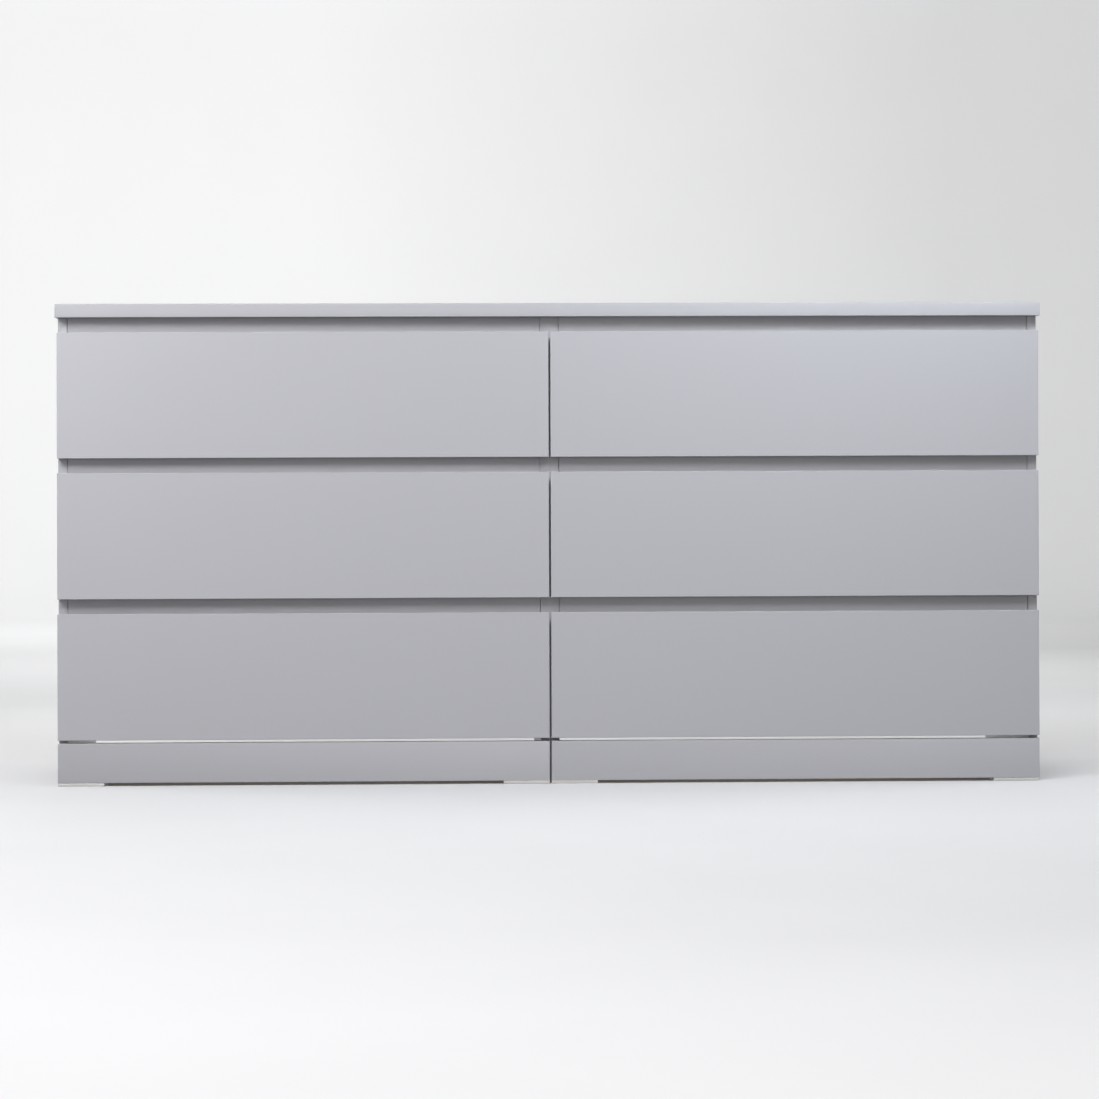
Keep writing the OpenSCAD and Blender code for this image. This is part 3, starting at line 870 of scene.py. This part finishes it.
def turned_blank(tree, given, outline, around, fluted):
    """The part before it is cut: rings of points, sent to the outline. Its top is at z = 0."""
    rings = len(outline) - 1
    blank = add(tree, "GeometryNodeMeshCylinder", {
        "Vertices": around, "Side Segments": rings, "Radius": given["Radius"], "Depth": given["Length"]},
        fill_type="NGON").outputs[0]
    place = add(tree, "ShaderNodeSeparateXYZ", {0: add(tree, "GeometryNodeInputPosition").outputs[0]})
    share = compute(tree, "ADD", compute(tree, "DIVIDE", place.outputs["Z"], given["Length"]), 0.5)
    height = share_curve(tree, share, [z for z, radius in outline])
    radius = share_curve(tree, share, [radius for z, radius in outline])
    if fluted:
        index = add(tree, "GeometryNodeInputIndex").outputs[0]
        odd = compute(tree, "MODULO", index, 2.0)
        radius = compute(tree, "MULTIPLY", radius,
                         compute(tree, "SUBTRACT", 1.0, compute(tree, "MULTIPLY", odd, given["Flute Share"])))
    z = compute(tree, "MULTIPLY", compute(tree, "SUBTRACT", height, 1.0), given["Length"])
    moved = combine(tree, compute(tree, "MULTIPLY", place.outputs["X"], radius),
                    compute(tree, "MULTIPLY", place.outputs["Y"], radius), z)
    return add(tree, "GeometryNodeSetPosition", {"Geometry": blank, "Position": moved}).outputs[0]


def cross_cutters(tree, given):
    """Two crossed blades that sink into the top by the cross's depth."""
    reach = compute(tree, "MULTIPLY", given["Radius"], CROSS_REACH)
    depth = compute(tree, "MULTIPLY", given["Cross Depth"], 2.0)
    width = given["Cross Width"]
    sizes = (combine(tree, reach, width, depth), combine(tree, width, reach, depth))
    return [add(tree, "GeometryNodeMeshCube", {"Size": size}).outputs[0] for size in sizes]


def hole_cutter(tree, given):
    """A drill across the part, along its X axis, some way below its top."""
    drill = add(tree, "GeometryNodeMeshCylinder", {
        "Vertices": DRILL_SIDES, "Radius": given["Hole Radius"],
        "Depth": compute(tree, "MULTIPLY", given["Radius"], DRILL_REACH)})
    below = compute(tree, "MULTIPLY", given["Hole Drop"], -1.0)
    return add(tree, "GeometryNodeTransform", {
        "Geometry": drill.outputs[0], "Translation": combine(tree, z=below),
        "Rotation": (0, math.pi / 2, 0)}).outputs[0]


def turned_rule(name, outline, around=32, cross=False, hole=False, fluted=False, spin=False):
    tree, given, result = new_rule(name, TURNED_SIZES)
    part = turned_blank(tree, given, outline, around, fluted)
    cutters = (cross_cutters(tree, given) if cross else []) + ([hole_cutter(tree, given)] if hole else [])
    if cutters:
        cut = add(tree, "GeometryNodeMeshBoolean", {"Mesh 1": part}, operation="DIFFERENCE", solver="EXACT")
        for cutter in cutters:
            tree.links.new(cutter, cut.inputs["Mesh 2"])
        part = cut.outputs["Mesh"]
    turn = add(tree, "GeometryNodeInputNamedAttribute", {"Name": TURN}, data_type="QUATERNION").outputs[0]
    if spin:
        angle = add(tree, "FunctionNodeRandomValue", {"Max": math.pi, "Seed": SPIN_SEED}, data_type="FLOAT")
        own = add(tree, "FunctionNodeAxisAngleToRotation", {"Axis": (0, 0, 1), "Angle": angle.outputs[1]})
        turn = add(tree, "FunctionNodeRotateRotation", {"Rotation": turn, "Rotate By": own.outputs[0]},
                   rotation_space="LOCAL").outputs[0]
    placed = add(tree, "GeometryNodeInstanceOnPoints", {
        "Points": given["Geometry"], "Instance": part, "Rotation": turn}).outputs[0]
    return close_rule(tree, given, placed, result)


print("A turned part's rule has", len(TURNED_SIZES), "named sizes")

# %% [markdown]
# ## Where the turned parts go
#
# A start mesh is only points. Each holds a rotation, built from two directions: the way that the part's
# top faces, and the way that its side faces, which matters for a cam because its hole must meet the bolt.

# %% Points that know which way they face
def turn_of(facing, sideways):
    """The rotation that takes Z to facing and X as near as it can to sideways."""
    z = Vector(facing).normalized()
    x = (Vector(sideways) - z * z.dot(Vector(sideways))).normalized()
    y = z.cross(x)
    return Matrix((x, y, z)).transposed().to_quaternion()


def points_mesh(name, spots):
    """A mesh of loose points. Each spot is (place, facing) or (place, facing, sideways)."""
    mesh = bpy.data.meshes.new(name)
    mesh.from_pydata([spot[0] for spot in spots], [], [])
    turns = mesh.attributes.new(TURN, "QUATERNION", "POINT")
    for item, (_, facing, *rest) in zip(turns.data, spots):
        across = rest[0] if rest else Vector(facing).orthogonal()
        item.value = turn_of(facing, across)
    return mesh


def put_parts(rule, name, spots, body, finish, slot=None, stands_for=(), **sizes):
    """Runs a turned rule on these spots, as one piece that rides on one body."""
    piece = run_rule(rule, name, points_mesh(name, spots), finish=finish, **sizes)
    for attribute in [a for a in piece.data.attributes if a.name == TURN]:
        piece.data.attributes.remove(attribute)
    piece.data.set_sharp_from_angle(angle=CORNER)
    return seat(piece, body, stands_for)


# %% [markdown]
# ## Screws
#
# Two kinds of screw hold what isn't joined by cams or nails. A countersunk one has a flat top and a cone
# under it, and sits flush in a runner's web or in a drawer's side. A pan-head one has a domed head that
# stands on the steel. The outline of each is a few corners, from the underside of its head to its top.

# %% Two kinds of screw
COUNTERSUNK = ((0.0, 0.55), (0.75, 0.97), (0.9, 1.0), (1.0, 0.98))
PAN_HEAD = ((0.0, 0.93), (0.08, 1.0), (0.45, 1.0), (0.72, 0.93), (0.92, 0.76), (1.0, 0.58))
countersunk_rule = turned_rule("countersunk_screw", COUNTERSUNK, cross=True, spin=True)
pan_head_rule = turned_rule("pan_head_screw", PAN_HEAD, cross=True, spin=True)
FLUSH_SCREW = {"radius": 3.7 * MM, "length": 1.15 * MM, "cross_width": 0.9 * MM, "cross_depth": 0.8 * MM}
PAN_SCREW = {"radius": 3.5 * MM, "length": 1.6 * MM, "cross_width": 0.9 * MM, "cross_depth": 1.1 * MM}
BARELY = 0.05 * MM            # how far a flush screw's top stays below or above the surface round it

# %% The screws of the runners
WEB_SCREWS = (34 * MM, 188 * MM, 343 * MM)       # behind the axis of the front roller
LEG_SCREWS = (40 * MM, 200 * MM, 350 * MM)       # behind the front end of the drawer's runner
WEB = 1.2 * MM


def wall_screw_spots(drawer):
    """Each runner's web is screwed to the wall of its bay, level with the roller's axis."""
    return [((x + direction * (WEB - BARELY), y + behind, z), (direction, 0, 0))
            for x, y, z, direction in wall_axles(drawer) for behind in WEB_SCREWS]


def leg_screw_spots(drawer):
    """The drawer's runners are screwed up into the lower edges of its sides."""
    front_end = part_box(f"{drawer}_runners")[0].y
    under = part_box(f"{drawer}_left_side")[0].z - WEB - PAN_SCREW["length"]
    edges = [middle_of(f"{drawer}_{side}_side").x for side in COLUMNS]
    return [((x, front_end + behind, under), (0, 0, -1)) for x in edges for behind in LEG_SCREWS]


cabinet_screws = [spot for drawer in DRAWERS for spot in wall_screw_spots(drawer)]
put_parts(countersunk_rule, "cabinet_runner_screws", cabinet_screws, CARCASS, zinc_plate, "zinc",
          **FLUSH_SCREW)
for drawer in DRAWERS:
    put_parts(pan_head_rule, f"{drawer}_runner_screws", leg_screw_spots(drawer), drawer_body(drawer),
              zinc_plate, "zinc", **PAN_SCREW)
print("Drove", len(cabinet_screws), "flush screws and", 6 * len(DRAWERS), "pan heads")

# %% [markdown]
# ## The brackets
#
# Two folded steel brackets hold the dresser to the wall. Each is screwed up into the top panel, and has a
# free hole for a wall screw. They are bent from strip, so they take the runners' edge rule.

# %% The wall brackets and their screws
BRACKET_SCREW_APART = 20 * MM
BRACKET_SCREW_IN = 26 * MM    # from the bracket's rear face
BRACKET_STEEL = 2 * MM
dress("wall_brackets", CARCASS, [zinc_plate], radius=BEND_RADIUS)


def bracket_screw_spots():
    rear_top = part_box("wall_brackets")[1]
    under = rear_top.z - BRACKET_STEEL - PAN_SCREW["length"]
    y = rear_top.y - BRACKET_SCREW_IN
    middles = [middle_of(f"top_{side}_bottom").x for side in COLUMNS]
    return [((x + half * BRACKET_SCREW_APART / 2, y, under), (0, 0, -1)) for x in middles for half in (-1, 1)]


put_parts(pan_head_rule, "bracket_screws", bracket_screw_spots(), CARCASS, zinc_plate, "zinc", **PAN_SCREW)
print("Screwed on two brackets")

# %% [markdown]
# ## The back panel's nails
#
# Small flat nails hold the hardboard to the rear edges of the uprights: one row into each side panel's
# rebate, and one on each side of the crease into the partition. Their spacing is worked out so that the
# first and the last stay the same distance from the panel's ends.

# %% The nails
NAIL_HEAD = ((0.0, 1.0), (0.55, 1.0), (0.85, 0.86), (1.0, 0.6))
NAIL = {"radius": 1.5 * MM, "length": 0.45 * MM}
NAIL_GAP = 105 * MM           # about this far apart
NAIL_END = 22 * MM            # from the panel's ends
NAIL_EDGE = 3.8 * MM          # from the panel's sides
NAIL_CREASE = 8 * MM          # from the crease


def nail_spots():
    low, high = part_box("back_panel")
    first, last = low.z + NAIL_END, high.z - NAIL_END
    steps = round((last - first) / NAIL_GAP)
    heights = [first + (last - first) * step / steps for step in range(steps + 1)]
    columns = (low.x + NAIL_EDGE, -NAIL_CREASE, NAIL_CREASE, high.x - NAIL_EDGE)
    return [((x, high.y + NAIL["length"], z), (0, 1, 0)) for x in columns for z in heights]


nail_rule = turned_rule("nail_head", NAIL_HEAD, around=20)
nails = nail_spots()
put_parts(nail_rule, "back_panel_nails", nails, CARCASS, zinc_plate, "zinc", **NAIL)
print("Hammered in", len(nails), "nails")

# %% [markdown]
# ## Cams, bolts and dowels
#
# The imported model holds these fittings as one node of 62 loose solids. Each solid says all that is needed:
# its longest or shortest side gives its axis, and its place gives its board. A cam is a short cylinder in
# a board's face, so its axis is its shortest side, and its open face is on the side of the board that it
# is nearer to. A bolt or a dowel is long, so its axis is its longest side. Bolts carry a thread and a
# ball for the cam to grip, and dowels are fluted, so that glue can rise past them.

# %% Sort the loose fittings
def loose_parts(node):
    """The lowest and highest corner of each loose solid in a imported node."""
    shell = whole_copy(node)
    left, found = set(shell.verts), []
    while left:
        stack, part = [left.pop()], []
        while stack:
            vertex = stack.pop()
            part.append(vertex.co.copy())
            fresh = [edge.other_vert(vertex) for edge in vertex.link_edges]
            stack += [other for other in fresh if other in left]
            left.difference_update(fresh)
        low = Vector(min(point[axis] for point in part) for axis in range(3))
        high = Vector(max(point[axis] for point in part) for axis in range(3))
        found.append((low, high))
    shell.free()
    return found


def axis_of(low, high, pick):
    """The index of a solid's longest side (pick=max) or shortest side (pick=min)."""
    size = high - low
    return pick(range(3), key=lambda axis: size[axis])


def along(axis, sign=1):
    return Vector([sign * float(axis == each) for each in range(3)])


fittings = loose_parts("joint_fittings")
DOWEL_LENGTH = 30 * MM
CAM_HEIGHT = 12.2 * MM
NEAR = 0.1 * MM               # sizes closer than this are the same
cam_boxes = [box for box in fittings if abs(min(box[1] - box[0]) - CAM_HEIGHT) < NEAR]
dowel_boxes = [box for box in fittings if abs(max(box[1] - box[0]) - DOWEL_LENGTH) < NEAR]
bolt_boxes = [box for box in fittings if box not in cam_boxes and box not in dowel_boxes]
print("Found", len(cam_boxes), "cams,", len(bolt_boxes), "bolts and", len(dowel_boxes), "dowels")

# %% [markdown]
# Each cam grips one bolt, the one whose end lies nearest. The bolt's ball is at that end, and its thread
# at the other, so one pair settles both rotations: the bolt faces its cam, and the cam's hole is turned
# to the bolt.

# %% The cams, their bolts and the dowels
CAM_OUTLINE = ((0.0, 0.96), (0.04, 1.0), (0.96, 1.0), (1.0, 0.96), (1.0, 0.84), (0.965, 0.8))
CAM = {"radius": 7.5 * MM, "length": CAM_HEIGHT, "cross_width": 2.2 * MM, "cross_depth": 3.2 * MM,
       "hole_radius": 3.7 * MM, "hole_drop": 7.2 * MM}
THREAD_TURNS = 8
THREAD_START, THREAD_LENGTH = 0.03, 0.23         # in shares of the bolt's length
THREAD_CREST, THREAD_ROOT = 0.83, 0.68           # in shares of its radius
THREAD = tuple(
    (THREAD_START + THREAD_LENGTH * ridge / (2 * THREAD_TURNS), THREAD_CREST if ridge % 2 else THREAD_ROOT)
    for ridge in range(2 * THREAD_TURNS + 1))
BOLT_OUTLINE = ((0.0, 0.5), *THREAD, (0.285, 1.0), (0.33, 1.0), (0.34, 0.8), (0.8, 0.8), (0.82, 0.55),
                (0.88, 0.55), (0.9, 0.85), (0.95, 1.0), (0.985, 0.85), (1.0, 0.5))
BOLT = {"radius": 3 * MM, "length": 36 * MM}
DOWEL_OUTLINE = ((0.0, 0.74), (0.045, 1.0), (0.955, 1.0), (1.0, 0.74))
DOWEL = {"radius": 4 * MM, "length": DOWEL_LENGTH, "flute_share": 0.05}
BOARDS_WITH_CAMS = ("left_side_panel", "right_side_panel", "partition")


def middle(box):
    return (box[0] + box[1]) / 2


def board_round(point):
    """The box of the board that holds a cam: an upright panel, or one of the loose rails."""
    boxes = [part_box(node) for node in BOARDS_WITH_CAMS] + loose_parts("front_rails")
    return next(box for box in boxes if all(box[0][i] < point[i] < box[1][i] for i in range(3)))


def cam_and_bolt(cam_box):
    """The spots of a cam and of the bolt that it grips."""
    centre = middle(cam_box)
    axis = axis_of(*cam_box, min)
    sign = math.copysign(1, centre[axis] - middle(board_round(centre))[axis])
    facing = along(axis, sign)
    bolt_box = min(bolt_boxes, key=lambda box: (middle(box) - centre).length)
    bolt_axis = axis_of(*bolt_box, max)
    towards_cam = along(bolt_axis, math.copysign(1, centre[bolt_axis] - middle(bolt_box)[bolt_axis]))
    cam_spot = (centre + facing * CAM_HEIGHT / 2, facing, towards_cam)
    bolt_spot = (middle(bolt_box) + towards_cam * BOLT["length"] / 2, towards_cam)
    return cam_spot, bolt_spot


pairs = [cam_and_bolt(box) for box in cam_boxes]
cam_rule = turned_rule("cam", CAM_OUTLINE, around=40, cross=True, hole=True)
bolt_rule = turned_rule("cam_bolt", BOLT_OUTLINE, around=24)
dowel_rule = turned_rule("dowel", DOWEL_OUTLINE, around=48, fluted=True)
put_parts(cam_rule, "cams", [cam for cam, bolt in pairs], CARCASS, zinc_plate, "zinc",
          stands_for=["joint_fittings"], **CAM)
put_parts(bolt_rule, "cam_bolts", [bolt for cam, bolt in pairs], CARCASS, zinc_plate, "zinc",
          stands_for=["joint_fittings"], **BOLT)
dowel_spots = [(middle(box) + along(axis_of(*box, max)) * DOWEL_LENGTH / 2, along(axis_of(*box, max)))
               for box in dowel_boxes]
dowels = put_parts(dowel_rule, "dowels", dowel_spots, CARCASS, beech, stands_for=["joint_fittings"], **DOWEL)
print("Made", len(pairs), "cams with their bolts, and", len(dowel_spots), "dowels")

# %% [markdown]
# The beech still needs its attribute. The rule makes the dowels in the order of their points, so a
# vertex's number tells which dowel it is on, and the dowel's own rotation turns its place back into
# length first, then across. Each dowel is also shifted along its own length, so that no two are alike.

# %% Lay the grain along each dowel
GRAIN_SHIFT = 0.1


def lay_grain(piece, spots):
    grain = piece.data.attributes.new(GRAIN, "FLOAT_VECTOR", "POINT")
    each = len(piece.data.vertices) // len(spots)
    for number, vertex in enumerate(piece.data.vertices):
        place, facing = spots[number // each]
        local = turn_of(facing, Vector(facing).orthogonal()).inverted() @ (vertex.co - Vector(place))
        grain.data[number].vector = (local.z + GRAIN_SHIFT * (number // each), local.x, local.y)


lay_grain(dowels, dowel_spots)
print("Laid the grain on", len(dowels.data.vertices), "points")

# %% [markdown]
# ## What holds a drawer together
#
# A drawer's front is drawn onto its sides by two cams on each side's inner face, and two flush screws go
# through each side into the back. Small soft bumpers behind the front keep it from knocking against the
# uprights: they are thinner than the gap there.

# %% The fittings of the drawers
JOINT_HEIGHTS = (45 * MM, 115 * MM)              # above the lower edge of a drawer's side
CAM_IN = 24 * MM                                 # behind the front
THIN_CAM = {**CAM, "length": 9.5 * MM, "hole_radius": 2.5 * MM, "hole_drop": 5.5 * MM}
BUMPER_OUTLINE = ((0.0, 1.0), (0.35, 1.0), (0.7, 0.88), (0.9, 0.68), (1.0, 0.4))
BUMPER = {"radius": 4 * MM, "length": 1.6 * MM}
BUMPER_HEIGHTS = (24 * MM, 168 * MM)             # above the lower edge of a front
BUMPER_EDGE = 7 * MM                             # from a front's ends
bumper_rule = turned_rule("bumper", BUMPER_OUTLINE, around=28)


def drawer_cam_spots(drawer):
    spots = []
    for side, inwards in (("left", 1), ("right", -1)):
        low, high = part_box(f"{drawer}_{side}_side")
        x = (high.x if inwards > 0 else low.x) + inwards * BARELY
        spots += [((x, low.y + CAM_IN, low.z + height), (inwards, 0, 0), (0, -1, 0))
                  for height in JOINT_HEIGHTS]
    return spots


def drawer_screw_spots(drawer):
    spots = []
    back_y = middle_of(f"{drawer}_back").y
    for side, outwards in (("left", -1), ("right", 1)):
        low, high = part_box(f"{drawer}_{side}_side")
        x = (high.x if outwards > 0 else low.x) + outwards * BARELY
        spots += [((x, back_y, low.z + height), (outwards, 0, 0)) for height in JOINT_HEIGHTS]
    return spots


def bumper_spots(drawer):
    low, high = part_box(f"{drawer}_front")
    return [((x, high.y + BUMPER["length"], low.z + height), (0, 1, 0))
            for x in (low.x + BUMPER_EDGE, high.x - BUMPER_EDGE) for height in BUMPER_HEIGHTS]


for drawer in DRAWERS:
    body = drawer_body(drawer)
    put_parts(cam_rule, f"{drawer}_cams", drawer_cam_spots(drawer), body, zinc_plate, "zinc", **THIN_CAM)
    put_parts(countersunk_rule, f"{drawer}_box_screws", drawer_screw_spots(drawer), body, zinc_plate, "zinc",
              **FLUSH_SCREW)
    put_parts(bumper_rule, f"{drawer}_bumpers", bumper_spots(drawer), body, bumper_plastic, "pad_plastic",
              **BUMPER)
print("Fitted cams, screws and bumpers to", len(DRAWERS), "drawers")

# %% [markdown]
# ## The studio
#
# The dresser stands on a seamless pale floor that turns up into a wall all round, a studio's cove, so
# that every view has the same plain ground. The cove is one outline turned round the dresser: a
# flat floor that the shadows lie on, a quarter of a circle, and a wall. The paper carries painted light:
# it glows by itself, more away from the dresser and more at the left, in place of the studio's uneven
# lighting. None of it sends light back to the dresser: the wall is there for the camera only, and the
# floor leaves out the light that it would throw up under the overhangs.

# %% The cove
COVE_FLOOR = 7.5              # radius of the flat floor
COVE_BEND = 2.5               # radius of the bend
COVE_TOP = 9.0                # height of the wall
COVE_MIDDLE = 1 * MM          # radius of the pinhole at the middle of the floor
COVE_TURNS = 96
BEND_STEPS = 16
PAPER_COLOUR = (0.686, 0.691, 0.698)
# These five sizes shape painted light: the paper's own glow stands in for the studio's uneven lighting.
GLOW = (0.44, 0.24)           # how strongly the cove glows at the left and at the right
GLOW_ACROSS = (-0.76, 2.1)    # from where to where that changes
FRONT_GLOW = 0.28             # how much more the part behind the viewer glows
GLOW_ALONG = (-4.0, 1.0)      # from where to where that fades
GLOW_OUTWARDS = (2.2, 10.0)   # how far out the glow starts, and where it is full


def turned_surface(name, outline, turns):
    """Turns an outline of (radius, height) points round the Z axis."""
    shell = bmesh.new()
    rows = []
    for radius, height in outline:
        angles = [2 * math.pi * turn / turns for turn in range(turns)]
        rows.append([shell.verts.new((radius * math.cos(a), radius * math.sin(a), height)) for a in angles])
    for inner, outer in zip(rows, rows[1:]):
        for turn in range(turns):
            after = (turn + 1) % turns
            shell.faces.new((inner[turn], outer[turn], outer[after], inner[after]))
    return as_object(shell, name, [studio_paper])


def make_paper():
    """Matt paper with painted light: it glows by itself, more away from the dresser and at the left."""
    material, tree, shader = new_finish("studio_paper", Roughness=0.9)
    where = places(tree)
    fibre = spread(tree, noise(tree, where, 3, detail=4), 0.99, 1.01)
    tint = add(tree, "ShaderNodeVectorMath", {0: PAPER_COLOUR, "Scale": fibre}, operation="SCALE")
    tree.links.new(tint.outputs[0], shader.inputs["Base Color"])
    place = add(tree, "ShaderNodeSeparateXYZ", {0: where})
    across = spread(tree, place.outputs["X"], *GLOW, *GLOW_ACROSS)
    along = spread(tree, place.outputs["Y"], FRONT_GLOW, 0, *GLOW_ALONG)
    both = add(tree, "ShaderNodeMath", {0: across, 1: along}, operation="ADD").outputs[0]
    level = add(tree, "ShaderNodeVectorMath", {0: where, 1: (1, 1, 0)}, operation="MULTIPLY").outputs[0]
    distance = add(tree, "ShaderNodeVectorMath", {0: level}, operation="LENGTH").outputs["Value"]
    outwards = spread(tree, distance, 0, 1, *GLOW_OUTWARDS)
    # Painted light: this glow stands in for the studio's uneven lighting of the paper.
    painted_glow = add(tree, "ShaderNodeMath", {0: both, 1: outwards}, operation="MULTIPLY")
    shader.inputs["Emission Color"].default_value = (1, 1, 1, 1)
    tree.links.new(painted_glow.outputs[0], shader.inputs["Emission Strength"])
    return material


studio_paper = make_paper()
bend = [(COVE_FLOOR + COVE_BEND * math.sin(a), floor_z + COVE_BEND * (1 - math.cos(a)))
        for a in (math.pi / 2 * step / BEND_STEPS for step in range(BEND_STEPS + 1))]
floor = turned_surface("floor", [(COVE_MIDDLE, floor_z), (COVE_FLOOR, floor_z)], COVE_TURNS)
wall = turned_surface("wall", bend + [(COVE_FLOOR + COVE_BEND, COVE_TOP)], COVE_TURNS)
for ray in ("diffuse", "glossy", "transmission", "shadow"):
    setattr(wall, f"visible_{ray}", False)
floor.visible_diffuse = False
print("The cove is", 2 * (COVE_FLOOR + COVE_BEND), "metres across")

# %% [markdown]
# ## The light
#
# The light is soft and comes mostly from the upper left, in front of the dresser, so the top row is the
# brightest and the lower right corner the darkest. A low, wide lamp straight ahead reaches in under the
# overhangs and leaves a short shadow there. Two small ones lift the first front's outer corner and a patch
# of the second. The rest light the floor before and behind the dresser, the wall, and the three sides that
# a walk round the dresser brings into view.

# %% Lamps and sky
WHITE = (1, 1, 1)
SKY_STRENGTH = 0.3


def add_lamp(name, place, aim, size, watts, colour):
    lamp = bpy.data.objects.new(name, bpy.data.lights.new(name, "AREA"))
    bpy.context.scene.collection.objects.link(lamp)
    lamp.data.shape = "RECTANGLE"
    lamp.data.size, lamp.data.size_y = size
    lamp.data.energy = watts
    lamp.data.color = colour
    lamp.location = place
    lamp.rotation_euler = (Vector(aim) - Vector(place)).to_track_quat("-Z", "Y").to_euler()
    lamp.visible_camera = False


LAMPS = (                     # name, place, what it aims at, size, watts, colour
    ("key", (-1.6, -2.6, 2.3), (-0.3, 0, 0.5), (1.6, 1.2), 55, (1, 0.98, 0.98)),
    ("front", (0.1, -4.6, 0.9), (0, 0, 0.45), (3.0, 1.2), 16, (1, 0.89, 0.82)),
    ("apron", (0, -3.0, 3.0), (0, -2.5, 0), (3.0, 2.0), 45, (0.93, 0.96, 1)),
    ("behind", (0, 3.0, 2.6), (0, 2.0, 0), (4.0, 1.0), 6, WHITE),
    ("far_floor", (-1.1, 5.1, 2.6), (-1.1, 5.1, 0), (4.0, 2.5), 52, WHITE),
    ("under", (0, 1.6, 0.8), (0, 0.8, 0), (1.6, 0.3), 5, WHITE),
    ("glow_left", (-1.15, -0.85, 1.05), (-0.75, -0.24, 0.7), (0.3, 0.3), 2.1, WHITE),
    ("glow_right", (0.62, -0.9, 1.35), (0.56, -0.24, 0.72), (0.5, 0.2), 5.6, (0.9, 0.95, 1)),
    ("wall_left", (-3.6, 5.5, 2.5), (-1.7, 9.5, 1.5), (2.0, 3.0), 18, WHITE),
    ("wall_middle", (0, 6.0, 4.5), (0, 9.9, 1.5), (5.0, 1.5), 77, WHITE),
    ("right_side", (3.2, 0.8, 1.9), (0.8, 0, 0.4), (1.5, 1.5), 30, WHITE),
    ("left_side", (-3.2, 0.8, 1.9), (-0.8, 0, 0.4), (1.5, 1.5), 30, WHITE),
    ("rear", (0, 3.8, 1.9), (0, 0.24, 0.4), (2.5, 1.2), 30, WHITE),
)
for lamp in LAMPS:
    add_lamp(*lamp)

world = bpy.data.worlds.new("sky")
bpy.context.scene.world = world
world.use_nodes = True
background = world.node_tree.nodes["Background"]
background.inputs["Color"].default_value = (*WHITE, 1)
background.inputs["Strength"].default_value = SKY_STRENGTH
bpy.context.scene.view_settings.view_transform = "Standard"
print(len(LAMPS), "lamps and a pale sky")
